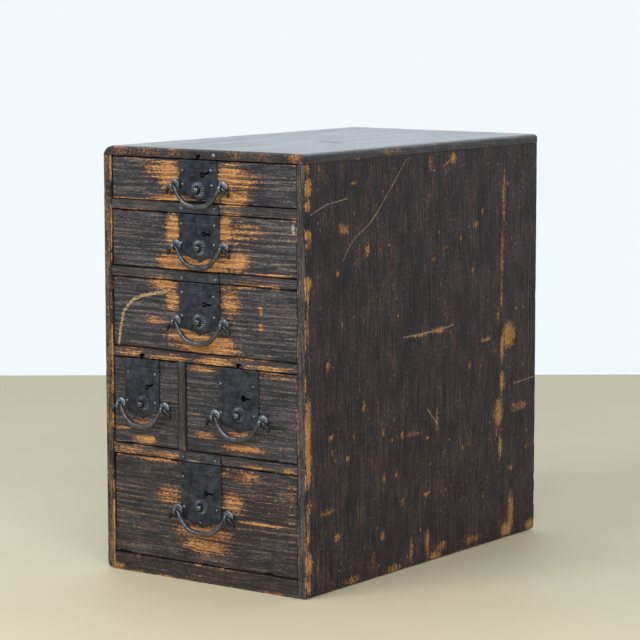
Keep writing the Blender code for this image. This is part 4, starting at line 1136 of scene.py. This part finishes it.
# The looks of the boards: the reach and strength of the edge wear, the strength of the ridges, and colours
SIDE_RIDGES = 0.8
FRONT_WEAR = (0.0016, 0.2, 0.85)
RAIL_WEAR = (0.0020, 0.2, 0.6)
right_side_look = lacquered("lacquer_right_side", "z", 0.0022, 0.36, SIDE_RIDGES, SIDE_TINTS,
                            side_lines(SIDE_X, SIDE_SCRATCHES), combed=False, front=RAIL_TINTS)
left_side_look = lacquered("lacquer_left_side", "z", 0.0030, 0.5, SIDE_RIDGES, SIDE_TINTS,
                           side_lines(-SIDE_X, LEFT_SCRATCHES), combed=False, front=RAIL_TINTS)
top_look = lacquered("lacquer_top", "y", 0.0022, 0.15, SIDE_RIDGES, TOP_TINTS, combed=False, sheen=True)
rail_look = lacquered("lacquer_rails", "x", *RAIL_WEAR, RAIL_TINTS)
foot_look = lacquered("lacquer_foot", "x", *RAIL_WEAR, FOOT_TINTS)
upright_look = lacquered("lacquer_upright", "z", 0.0020, 0.25, 0.6, RAIL_TINTS)
front_look = lacquered("lacquer_fronts", "x", *FRONT_WEAR, {})
own_front_looks = {
    2: lacquered("lacquer_scuffed_front", "x", *FRONT_WEAR, SCUFF_TINTS, front_line(CORNER_SCUFF)),
    3: lacquered("lacquer_scratched_front", "x", *FRONT_WEAR, {}, front_line(ARC_SCRATCH)),
    6: lacquered("lacquer_low_front", "x", *FRONT_WEAR, LOW_TINTS),
}
box_look = raw_wood("drawer_box_wood", "y", *BOX_WOOD)
back_look = raw_wood("back_wood", "z", *BACK_WOOD)
# The looks of the iron: colours, bump, polish and the colour near its edges
# The lock plates take a painted highlight as their edge colour
plate_look = iron("lock_iron", *LOCK_IRON, 0.35, 0.0, IRON_HIGHLIGHT)
keeper_look = iron("keeper_iron", *KEEPER_IRON, 0.35, 0.0, PALE_CRUST)
# The bails' tips take painted shade as their edge colour
bail_look = iron("bail_iron", *BAIL_IRON, 0.25, 0.03, PAINTED_TIP_SHADE)
washer_look = iron("washer_iron", *WASHER_IRON, 0.25, 0.02)
button_look = iron("button_iron", *BUTTON_IRON, 0.02, 0.33)
nail_look = iron("nail_iron", *NAIL_IRON, 0.08, 0.22)
bolt_look = iron("bolt_iron", *BOLT_IRON, 0.25, 0.0)


# Case

def pocket_cutters(number):
    """What a drawer's bolt rises into: a pocket, and a hooked notch to the front where no keeper hides it."""
    low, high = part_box(f"drawer_{number}_bolt")
    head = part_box(f"drawer_{number}_front")[1].z
    top = head + POCKET_RISE + POCKET_SLACK
    gap = POCKET_GAP
    cutters = [block_shell((low.x - gap, low.y - gap, head), (high.x + gap, high.y + gap, top))]
    if number in NOTCHED:
        middle = (low.x + high.x) / 2
        start = FRONT_Y - CUT_PAST
        for (left, right), foot in ((NOTCH_STEM, head), (NOTCH_HOOK, top - NOTCH_HOOK_HEIGHT)):
            cutters.append(block_shell((middle + left, start, foot), (middle + right, low.y, top)))
    return cutters


def top_sheen(points, top):
    """Polish of the top board: on its upper face only, streaked along the grain and dull along the crack."""
    level = 1 - smooth_step(*SHEEN_END, top - points[:, 2])
    streaks = SHEEN_MEAN + SHEEN_STREAKS[0] * waviness(points, SHEEN_STREAKS[1], 51, 3)
    streaks += SHEEN_CLOUDS[0] * waviness(points, SHEEN_CLOUDS[1], 55, 2)
    gaps = []
    for start, stop in zip(TOP_CRACK, TOP_CRACK[1:]):
        away = points[:, :2] - np.array(start)
        along = np.array(stop) - np.array(start)
        share = np.clip(away @ along / (along @ along), 0, 1)
        gaps.append(np.linalg.norm(away - share[:, None] * along, axis=1))
    return np.clip(level * streaks * smooth_step(0, CRACK_REACH, np.min(gaps, axis=0)), 0, 1)


def make_case():
    """The boards of the case, apart from its back."""
    for name, look, spots in (("left_side_panel", left_side_look, left_rubs),
                              ("right_side_panel", right_side_look, right_rubs)):
        board = worn_board(name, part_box(name), 3, spots=spots, **BOARDS[name])
        set_values(board, "front", 1 - smooth_step(*FRONT_END, all_points(board)[:, 1] - FRONT_Y))
        settle(board, look, "case", name)
    low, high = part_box("top_board")
    board = worn_board("top_board", (low, high), 5, spots=top_rubs, **BOARDS["top_board"])
    set_values(board, "sheen", top_sheen(all_points(board), high.z))
    cut_out(board, pocket_cutters(1))
    settle(board, top_look, "case", "top_board")
    board = worn_board("bottom_board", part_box("bottom_board"), 7, spots=FOOT_RUBS, **BOARDS["bottom_board"])
    settle(board, foot_look, "case", "bottom_board")
    reach = INNER_X - FIT_GAP
    for number, drawers in DRAWERS_BELOW.items():
        low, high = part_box(f"shelf_{number}")
        box = ((-reach, low.y, low.z), (reach, high.y, high.z))
        board = worn_board(f"shelf_{number}", box, 10 + number, spots=front_spots(RAIL_RUBS[number]),
                           **BOARDS["shelf"])
        cut_out(board, [cutter for drawer in drawers for cutter in pocket_cutters(drawer)])
        settle(board, rail_look, "case", f"shelf_{number}")
    low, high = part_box("divider")
    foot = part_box("shelf_4")[1].z + FIT_GAP
    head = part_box("shelf_3")[0].z - FIT_GAP
    board = worn_board("divider", ((low.x, low.y, foot), (high.x, high.y, head)), 17, **BOARDS["divider"])
    settle(board, upright_look, "case", "divider")


def make_back():
    """The back panel: one board grooved like planks, each nailed at its ends and in the middle."""
    low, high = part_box("back_panel")
    board = worn_board("back_panel", (low, high), 23, **BOARDS["back_panel"])
    width = (high.x - low.x) / BACK_PLANKS
    grooves = []
    for k in range(1, BACK_PLANKS):
        x = low.x + width * k
        grooves.append(block_shell((x - GROOVE_HALF, high.y - GROOVE_DEPTH, low.z - GROOVE_PAST),
                                   (x + GROOVE_HALF, high.y + GROOVE_PAST, high.z + GROOVE_PAST)))
    cut_out(board, grooves)
    settle(board, back_look, "case", "back_panel")
    columns = low.x + width * (np.arange(BACK_PLANKS) + 0.5)
    rows = (low.z + BACK_NAIL_INSET, (low.z + high.z) / 2, high.z - BACK_NAIL_INSET)
    points, faces = combine([nail((x + side * width * BACK_NAIL_SPREAD, z), 0.0, *BACK_NAIL)
                             for x in columns for z in rows for side in (-1, 1)])
    points[:, 1] = high.y - BACK_NAIL_SUNK - points[:, 1] * BACK_NAIL_FLAT
    add_iron("back_panel_nails", [(points, faces)], nail_look, "case")


# Drawers

def post_places(number):
    """The middles (x, z) of a drawer's two posts."""
    boxes = [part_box(f"drawer_{number}_post_{side}") for side in ("left", "right")]
    return [((low.x + high.x) / 2, high.z - POST_RADIUS) for low, high in boxes]


def button_place(number):
    """The middle (x, z) and the radius of a drawer's lock button."""
    low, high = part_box(f"drawer_{number}_button")
    return ((low.x + high.x) / 2, (low.z + high.z) / 2), (high.x - low.x) / 2


def key_cutters(number, front, back, pinned):
    """The keyhole: a round hole, round its pin where there is one, and a slot to the right."""
    (x, z), tilt = KEYHOLES[number][:2]
    cutters = [rod_shell((x, z), KEYHOLE_RADIUS * KEYHOLE_BORE, front, back)]
    if pinned:
        profile = [(KEY_PIN_RADIUS, front), (KEYHOLE_RADIUS, front), (KEYHOLE_RADIUS, back),
                   (KEY_PIN_RADIUS, back), (KEY_PIN_RADIUS, front)]
        cutters = [turned(profile, (x, z), ROD_SIDES)]
    points, faces = block_shell((KEY_PIN_RADIUS * KEY_SLOT_START, front, -KEY_SLOT_WIDTH / 2),
                                (KEY_SLOT_LENGTH, back, KEY_SLOT_WIDTH / 2))
    turn = math.radians(tilt)
    across = points[:, 0].copy()
    up = points[:, 2].copy()
    points[:, 0] = x + across * math.cos(turn) - up * math.sin(turn)
    points[:, 2] = z + across * math.sin(turn) + up * math.cos(turn)
    return cutters + [(points, faces)]


def make_front(number):
    """A drawer front with raised grain, bored for posts, button and key and slotted for the bolt."""
    name = f"drawer_{number}_front"
    low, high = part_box(name)
    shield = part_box(f"drawer_{number}_lock_plate")
    shield[0].z += PLATE_SHOULDER
    board = worn_board(name, (low, high), 30 + number, spots=front_spots(RUBS[number]), shield=shield,
                       **BOARDS["front"])
    bolt_low, bolt_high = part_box(f"drawer_{number}_bolt")
    button, radius = button_place(number)
    button_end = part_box(f"drawer_{number}_button")[1].y + BUTTON_ROOM
    gap = BORE_GAP
    start = low.y - CUT_PAST
    cutters = [rod_shell(place, SHANK_RADIUS + gap, start, high.y + CUT_PAST, SMALL_SIDES)
               for place in post_places(number)]
    cutters.append(rod_shell(button, radius + gap, start, button_end))
    cutters += key_cutters(number, start, bolt_low.y, False)
    cutters.append(block_shell((bolt_low.x - gap, bolt_low.y - gap, button[1] - radius - gap),
                               (bolt_high.x + gap, bolt_high.y + gap, high.z + CUT_PAST)))
    cut_out(board, cutters)
    settle(board, own_front_looks.get(number, front_look), f"drawer_{number}", name)


def make_box(number):
    """The drawer's box: two sides, a back and a floor, pegged together."""
    low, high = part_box(f"drawer_{number}_box")
    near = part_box(f"drawer_{number}_front")[1].y + FIT_GAP
    left = low.x + BOX_BOARD
    right = high.x - BOX_BOARD
    far = high.y - BOX_BOARD
    gap = BOX_GAP
    boards = (((low.x, near, low.z), (left, high.y, high.z)),
              ((right, near, low.z), (high.x, high.y, high.z)),
              ((left + gap, far, low.z), (right - gap, high.y, high.z)),
              ((left + gap, near, low.z), (right - gap, far - gap, low.z + BOX_FLOOR)))
    shells = []
    for k, (first, last) in enumerate(boards):
        points, quads = block_surface([grid_places(*span) for span in zip(first, last, BOX_STEPS)])
        worn = wear_edges(points, np.array(first), np.array(last), BOX_RADIUS, {}, 60 + 5 * number + k)
        shells.append((worn, quads))
    peg = [(0, -PEG_PROUD), (PEG_RADIUS * PEG_CROWN, -PEG_PROUD), (PEG_RADIUS, 0), (0, PEG_SUNK)]
    for x, outward in ((low.x, -1), (high.x, 1)):
        for z in (low.z + PEG_INSETS[0], high.z - PEG_INSETS[1]):
            points, faces = turned(peg, (high.y - BOX_BOARD / 2, z), SMALL_SIDES)
            shells.append((np.stack((x - outward * points[:, 1], points[:, 0], points[:, 2]), axis=1), faces))
    made = add_mesh(f"drawer_{number}_box_boards", *combine(shells))
    close_mesh(made)
    settle(made, box_look, f"drawer_{number}", f"drawer_{number}_box")


# Iron

def mixed_places(low, high, middle, reach, fine, coarse):
    """Places from low to high: fine steps within the reach of the middle, coarse ones outside it.

    A few more lie close to both ends.
    """
    start = max(low, middle - reach)
    stop = min(high, middle + reach)
    spans = [span for span in ((low, start, coarse), (start, stop, fine), (stop, high, coarse))
             if span[1] - span[0] > 1e-6]
    parts = [np.linspace(a, b, max(2, math.ceil((b - a) / step) + 1)) for a, b, step in spans]
    return np.unique(np.round(np.concatenate(parts + [low + PLATE_RIM_ROWS, high - PLATE_RIM_ROWS]), 6))


def plate_foot(x, half, point):
    """Height of a lock plate's lower edge at a distance from its middle.

    Rounded corners at both ends; between them the edge falls to the middle's point by a power of the
    distance.
    """
    shoulder = point + PLATE_SHOULDER
    sweep_end = half - PLATE_CORNER * (1 - math.cos(PLATE_CORNER_TURN))
    sweep_rise = PLATE_SHOULDER + PLATE_CORNER * (1 - math.sin(PLATE_CORNER_TURN))
    across = np.clip(x - half + PLATE_CORNER, 0, PLATE_CORNER)
    corner = shoulder + PLATE_CORNER - np.sqrt(np.maximum(PLATE_CORNER ** 2 - across ** 2, 0))
    sweep = point + sweep_rise * np.clip(x / sweep_end, 0, 1) ** PLATE_SWEEP
    return np.where(x > sweep_end, corner, sweep)


def make_lock_plate(number):
    """The lock plate: a hammered sheet with a folded strip, a fluted rosette, nails and a keyhole.

    Its front is a height field: strip + rosette dome + flutes + dents, and it thins at its outline.
    """
    name = f"drawer_{number}_lock_plate"
    low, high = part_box(name)
    middle = (low.x + high.x) / 2
    half = (high.x - low.x) / 2 - STRIP_LAP
    face = high.y - PLATE_THICK
    button, radius = button_place(number)
    bore = radius + BORE_GAP
    strip_foot = high.z - STRIP_DROP
    grid = (ROSETTE_RADIUS + ROSETTE_MARGIN, PLATE_FINE, PLATE_COARSE)
    x = np.unique(np.append(mixed_places(middle - half, middle + half, button[0], *grid), middle))
    z = mixed_places(low.z, high.z, button[1], *grid)
    z = np.unique(np.concatenate((z, strip_foot + np.array((-STRIP_BEND, STRIP_BEND)))))
    across, up = np.meshgrid(x, z)
    waist = low.z + PLATE_SHOULDER + PLATE_CORNER
    foot = plate_foot(np.abs(across - middle), half, low.z)
    up = np.where(up < waist, waist - (waist - up) * (waist - foot) / (waist - low.z), up)
    away = np.hypot(across - button[0], up - button[1])
    waves = np.cos(np.arctan2(up - button[1], across - button[0]) * ROSETTE_FLUTES)
    slope = np.clip((ROSETTE_RADIUS - away) / (ROSETTE_RADIUS - bore), 0, 1)
    dome = ROSETTE_RIM * smooth_step(0, ROSETTE_RIM_SHARE, slope)
    dome += (ROSETTE_RISE - ROSETTE_RIM) * np.sin(slope * math.pi / 2)
    flutes = FLUTE_DEPTH * waves * np.sin(np.clip(slope * FLUTE_REACH, 0, 1) * math.pi)
    flat = np.stack((across, np.zeros_like(up), up), axis=-1).reshape(-1, 3)
    dents = waviness(flat, PLATE_DENT_CELL, 80 + number, 2).reshape(up.shape)
    strip = STRIP_PROUD * smooth_step(-STRIP_BEND, STRIP_BEND, up - strip_foot + STRIP_WAVE * dents)
    outline = np.minimum(np.minimum(half - np.abs(across - middle), high.z - up), up - foot)
    thin = PLATE_RIM_THIN * (1 - np.clip(outline / PLATE_RIM, 0, 1)) ** 2
    height = strip + dome + flutes + PLATE_DENT * dents - thin
    front = np.stack((across, face - height, up), axis=-1)
    back = np.stack((across, np.full_like(up, high.y), up), axis=-1)
    # Painted highlight on the flutes' crests, and fainter ones at the strip's step and the outline
    crest_highlight = ROSETTE_HIGHLIGHT[number] * np.clip(waves, 0, 1) * np.sin(slope * math.pi)
    border = np.minimum(OUTLINE_EDGE + outline, STRIP_EDGE + np.abs(up - strip_foot))
    edge = np.where(away < ROSETTE_RADIUS, HOLLOW_EDGE * (1 - crest_highlight), border)
    plate = add_mesh(name + "_forged", *slab(front, back))
    set_values(plate, "edge", np.tile(np.maximum(edge.ravel(), LEAST_EDGE), 2))
    close_mesh(plate)
    reach = (face - PLATE_RELIEF, high.y + CUT_PAST)
    cutters = [rod_shell(button, bore, *reach)] + key_cutters(number, *reach, KEYHOLES[number][2])
    cutters += [rod_shell(place, SPARE_HOLE_RADIUS, *reach, SPARE_HOLE_SIDES)
                for place in SPARE_HOLES[number]]
    cut_out(plate, cutters)
    settle(plate, plate_look, f"drawer_{number}", name, 40)
    nails = [nail(place, face) for place in LOCK_NAILS[number]]
    add_iron(f"drawer_{number}_lock_nails", nails, nail_look, f"drawer_{number}")


def make_posts(number):
    """A handle's two posts: a domed washer, an eye of thick wire and a shank clenched behind the front."""
    eye_y = joints[f"bail_{number}_swing"]["pos_m"][1]
    plate_low, plate_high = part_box(f"drawer_{number}_lock_plate")
    rim = plate_high.y - PLATE_THICK - FIT_GAP
    for side, (x, z) in zip(("left", "right"), post_places(number)):
        name = f"drawer_{number}_post_{side}"
        low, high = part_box(name)
        foot = min(WASHER_RADIUS * WASHER_HOLLOW, max(plate_low.x - x, x - plate_high.x) - FIT_GAP)
        clench = high.y - CLENCH_THICK
        profile = domed(WASHER_RADIUS, rim - WASHER_RIM, WASHER_RISE - WASHER_RIM, 8)
        profile += [(WASHER_RADIUS, rim), (foot, rim), (foot, rim + PLATE_THICK),
                    (SHANK_RADIUS, rim + PLATE_THICK), (SHANK_RADIUS, clench), (CLENCH_RADIUS, clench),
                    (CLENCH_RADIUS * CLENCH_CROWN[0], high.y - CLENCH_RIM),
                    (CLENCH_RADIUS * CLENCH_CROWN[1], high.y), (0, high.y)]
        ring = np.linspace(0, math.tau, EYE_STEPS, endpoint=False)
        wire = np.linspace(0, math.tau, SMALL_SIDES, endpoint=False)
        around, section = np.meshgrid(ring, wire, indexing="ij")
        radius = EYE_OUTER - EYE_WIRE + EYE_WIRE * np.cos(section)
        eye = np.stack((x + EYE_HALF_WIDTH * np.sin(section), eye_y + radius * np.cos(around),
                        low.z + EYE_OUTER + radius * np.sin(around)), axis=-1).reshape(-1, 3)
        eye_faces = grid_faces(EYE_STEPS + 1, SMALL_SIDES, wrap=True) % len(eye)
        add_iron(name + "_forged", [turned(profile, (x, z), LARGE_SIDES), (eye, eye_faces)], washer_look,
                 f"drawer_{number}", name, 60)


def make_bail(number):
    """The bail: a bar swept along its path, thick at the grip, thin at the necks, with drooping tips."""
    centre = np.array(joints[f"bail_{number}_swing"]["pos_m"])
    left, right = post_places(number)
    eye = (right[0] - left[0]) / 2
    grip = [(eye * out, 0, -BAIL_DROP * drop, BAIL_GRIP_RADIUS * thick)
            for out, drop, thick in BAIL_GRIP_SHARES]
    grip.append((eye - BAIL_NECK_SLACK, 0, 0, BAIL_NECK_RADIUS))
    tip = [(eye + BAIL_NECK_SLACK, 0, 0, BAIL_NECK_RADIUS)]
    tip += [(eye + BAIL_TIP_REACH * out, BAIL_TIP_CURL * curl, -BAIL_TIP_DROP * drop,
             BAIL_NECK_RADIUS * thick) for out, drop, curl, thick in BAIL_TIP_SHARES]
    half = np.vstack((smooth_curve(grip, BAIL_GRIP_ROWS), smooth_curve(tip, BAIL_TIP_ROWS)))
    end = half[-1, :3] - half[-2, :3]
    end *= half[-1, 3] / np.linalg.norm(end)
    cap = np.sin(np.radians(BAIL_END_TURNS))[:, None]
    shrink = np.sqrt(np.maximum(0, 1 - cap * cap))
    half = np.vstack((half, np.hstack((half[-1, :3] + end * cap, half[-1, 3] * shrink))))
    path = np.vstack((half[:0:-1] * np.array((-1, 1, 1, 1)), half))
    hammered = 1 + BAIL_HAMMERING * waviness(path[:, :3] + number, BAIL_HAMMER_CELL, 90 + number, 2)
    # Painted shade on each tip, growing beyond its eye
    tip_shade = smooth_step(*TIP_SHADE_SPAN, np.abs(path[:, 0]) - eye)
    add_iron(f"drawer_{number}_bail_forged", [tube(path[:, :3] + centre, path[:, 3] * hammered, BAIL_SIDES)],
             bail_look, f"bail_{number}", f"drawer_{number}_bail", 60,
             np.repeat(IRON_EDGE * (1 - tip_shade), BAIL_SIDES))


def make_button(number):
    """The lock button: a domed rod whose inner end is cut to a ramp that lifts the bolt."""
    low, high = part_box(f"drawer_{number}_button")
    bolt_low, bolt_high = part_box(f"drawer_{number}_bolt")
    centre, radius = button_place(number)
    rim = low.y + BUTTON_CROWN
    neck = radius * BUTTON_NECK
    profile = domed(radius, rim, BUTTON_CROWN, 10)
    profile += [(wide, rim + row) for wide, row in zip((neck, neck, radius), BUTTON_NECK_ROWS)]
    profile += [(radius, high.y), (0, high.y)]
    points, faces = turned(profile, centre, LARGE_SIDES)
    bolt_y = (bolt_low.y + bolt_high.y) / 2
    ramp = bolt_y - (points[:, 2] - centre[1] + BORE_GAP) / RAMP_SLOPE
    points[:, 1] = np.where(points[:, 1] > rim + RAMP_START, np.minimum(points[:, 1], ramp), points[:, 1])
    add_iron(f"drawer_{number}_button_forged", [(points, faces)], button_look, f"button_{number}",
             f"drawer_{number}_button", 45)


def make_keepers():
    """Keeper plates on the rails, dented and slightly bent, and the lone nails where a keeper is lost."""
    heads = [nail(place, FRONT_Y, *LONE_NAIL) for place in LONE_NAILS]
    back = FRONT_Y - FIT_GAP
    for shelf, drawer, nails in KEEPERS:
        low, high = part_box(f"shelf_{shelf}")
        plate_low, plate_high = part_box(f"drawer_{drawer}_lock_plate")
        middle = (plate_low.x + plate_high.x) / 2
        x = mixed_places(middle - KEEPER_HALF, middle + KEEPER_HALF, middle, *KEEPER_X_GRID)
        z = mixed_places(low.z + KEEPER_FOOT, high.z - KEEPER_HEAD, (low.z + high.z) / 2, *KEEPER_Z_GRID)
        across, up = np.meshgrid(x, z)
        flat = np.stack((across, np.zeros_like(up), up), axis=-1).reshape(-1, 3)
        dents = waviness(flat, KEEPER_DENT_CELL, 100 + shelf, 2).reshape(up.shape)
        bend = smooth_step(KEEPER_BEND_START, 1.0, (up - low.z) / (high.z - low.z))
        up = up + KEEPER_BEND * bend * waviness(flat, KEEPER_BEND_CELL, 110 + shelf, 1).reshape(up.shape)
        front = np.stack((across, back - KEEPER_THICK - KEEPER_DENT * dents, up), axis=-1)
        rear = np.stack((across, np.full_like(up, back), up), axis=-1)
        crust = np.clip(rubbed(front.reshape(-1, 3), [(CRUST_PLACE, CRUST_REACH, 1.0)]), 0, 1)
        add_iron(f"keeper_{shelf}", [slab(front, rear)], keeper_look, "case",
                 edge=np.tile(IRON_EDGE * (1 - crust), 2))
        heads += [nail(place, back - KEEPER_THICK) for place in nails]
    add_iron("lone_nails", heads, nail_look, "case")


# Stage

CAMERA_PLACE = Vector((1.807, -2.480, 0.660))
CAMERA_TARGET = Vector((-0.0094, -0.0019, 0.2690))
CAMERA_ROLL = math.radians(-0.08)
CAMERA_LENS = 149.6
CAMERA_SENSOR = 36
FLOOR_START = 3.0           # level distance from the floor's near edge to the camera
FLOOR_END = 4.45            # level distance from the camera to the floor's far edge
FLOOR_HALF_WIDTH = 4.0
FLOOR_ROWS = 30
FLOOR_COLOURS = ((0.74, 0.640, 0.430, 1), (0.755, 0.655, 0.443, 1))
BACKGROUND = (0.89, 0.95, 0.985, 1)
ROOM_LIGHT = (0.82, 0.925, 1.0, 1)
ROOM_LEVEL = 0.24
LAMP_LIGHT = (0.94, 0.97, 1.0)
LAMP_TARGET = Vector((0, 0, 0.25))
# Place, size and power of the lamps
LAMPS = {"key": (Vector((-0.8, -2.6, 2.3)), 1.5, 48), "fill": (Vector((2.0, -2.0, 1.8)), 2.0, 59)}


def level_ahead():
    """The level direction from the camera to the chest."""
    return ((CAMERA_TARGET - CAMERA_PLACE) * Vector((1, 1, 0))).normalized()


def aimed(place, target):
    """A matrix that puts a camera or a lamp in its place and turns it to its target."""
    return Matrix.Translation(place) @ (target - place).to_track_quat("-Z", "Y").to_matrix().to_4x4()


def make_camera():
    """The photograph's camera."""
    camera = bpy.data.objects.new("camera", bpy.data.cameras.new("camera"))
    bpy.context.scene.collection.objects.link(camera)
    camera.matrix_world = aimed(CAMERA_PLACE, CAMERA_TARGET) @ Matrix.Rotation(CAMERA_ROLL, 4, "Z")
    camera.data.lens = CAMERA_LENS
    camera.data.sensor_width = CAMERA_SENSOR
    bpy.context.scene.camera = camera


def make_floor():
    """A pale floor that ends level behind the chest, where the white background begins."""
    ahead = level_ahead()
    right = Vector((ahead.y, -ahead.x, 0))
    start = Vector((CAMERA_PLACE.x, CAMERA_PLACE.y, 0)) - ahead * FLOOR_START
    depth = np.linspace(0, FLOOR_START + FLOOR_END, FLOOR_ROWS)
    width = np.linspace(-FLOOR_HALF_WIDTH, FLOOR_HALF_WIDTH, FLOOR_ROWS)
    across, along = np.meshgrid(width, depth)
    points = np.array(start) + across[..., None] * np.array(right) + along[..., None] * np.array(ahead)
    floor = add_mesh("floor", points.reshape(-1, 3), grid_faces(FLOOR_ROWS, FLOOR_ROWS))
    made, graph, shader = new_material("pale_floor")
    tone = graph.noise(graph.node("ShaderNodeTexCoord").outputs["Object"], (5, 5, 5), 3.0)
    colour = graph.blend(graph.rise(tone, 0.35, 0.65), *FLOOR_COLOURS)
    graph.fill(shader, {"Base Color": colour, "Roughness": 0.6})
    floor.data.materials.append(made)


def make_light():
    """A white wall behind the chest, a dimmer room in front of it and two soft lamps."""
    world = bpy.data.worlds.new("studio")
    world.use_nodes = True
    graph = Graph(world.node_tree)
    seen = graph.node("ShaderNodeLightPath").outputs["Is Camera Ray"]
    toward = graph.node("ShaderNodeTexCoord").outputs["Generated"]
    level = graph.rise(graph.vector("DOT_PRODUCT", toward, tuple(level_ahead())), -0.3, 0.6, ROOM_LEVEL, 1.0)
    ambient = graph.node("ShaderNodeBackground", {"Color": ROOM_LIGHT, "Strength": level})
    bright = graph.node("ShaderNodeBackground", {"Color": BACKGROUND, "Strength": 1.0})
    mixed = graph.node("ShaderNodeMixShader", {0: seen, 1: ambient.outputs[0], 2: bright.outputs[0]})
    graph.fill(world.node_tree.nodes["World Output"], {"Surface": mixed.outputs[0]})
    bpy.context.scene.world = world
    for name, (place, size, power) in LAMPS.items():
        lamp = bpy.data.objects.new(name, bpy.data.lights.new(name, "AREA"))
        bpy.context.scene.collection.objects.link(lamp)
        lamp.data.size = size
        lamp.data.energy = power
        lamp.data.color = LAMP_LIGHT
        lamp.matrix_world = aimed(place, LAMP_TARGET)


make_case()
make_back()
for drawer in range(1, DRAWER_COUNT + 1):
    make_front(drawer)
    make_box(drawer)
    make_lock_plate(drawer)
    make_posts(drawer)
    make_bail(drawer)
    make_button(drawer)
    bolt = frame["nodes"][f"drawer_{drawer}_bolt"]
    bolt.data.materials.clear()
    bolt.data.materials.append(bolt_look)
make_keepers()
make_floor()
make_camera()
make_light()
bpy.context.scene.view_settings.view_transform = "Standard"
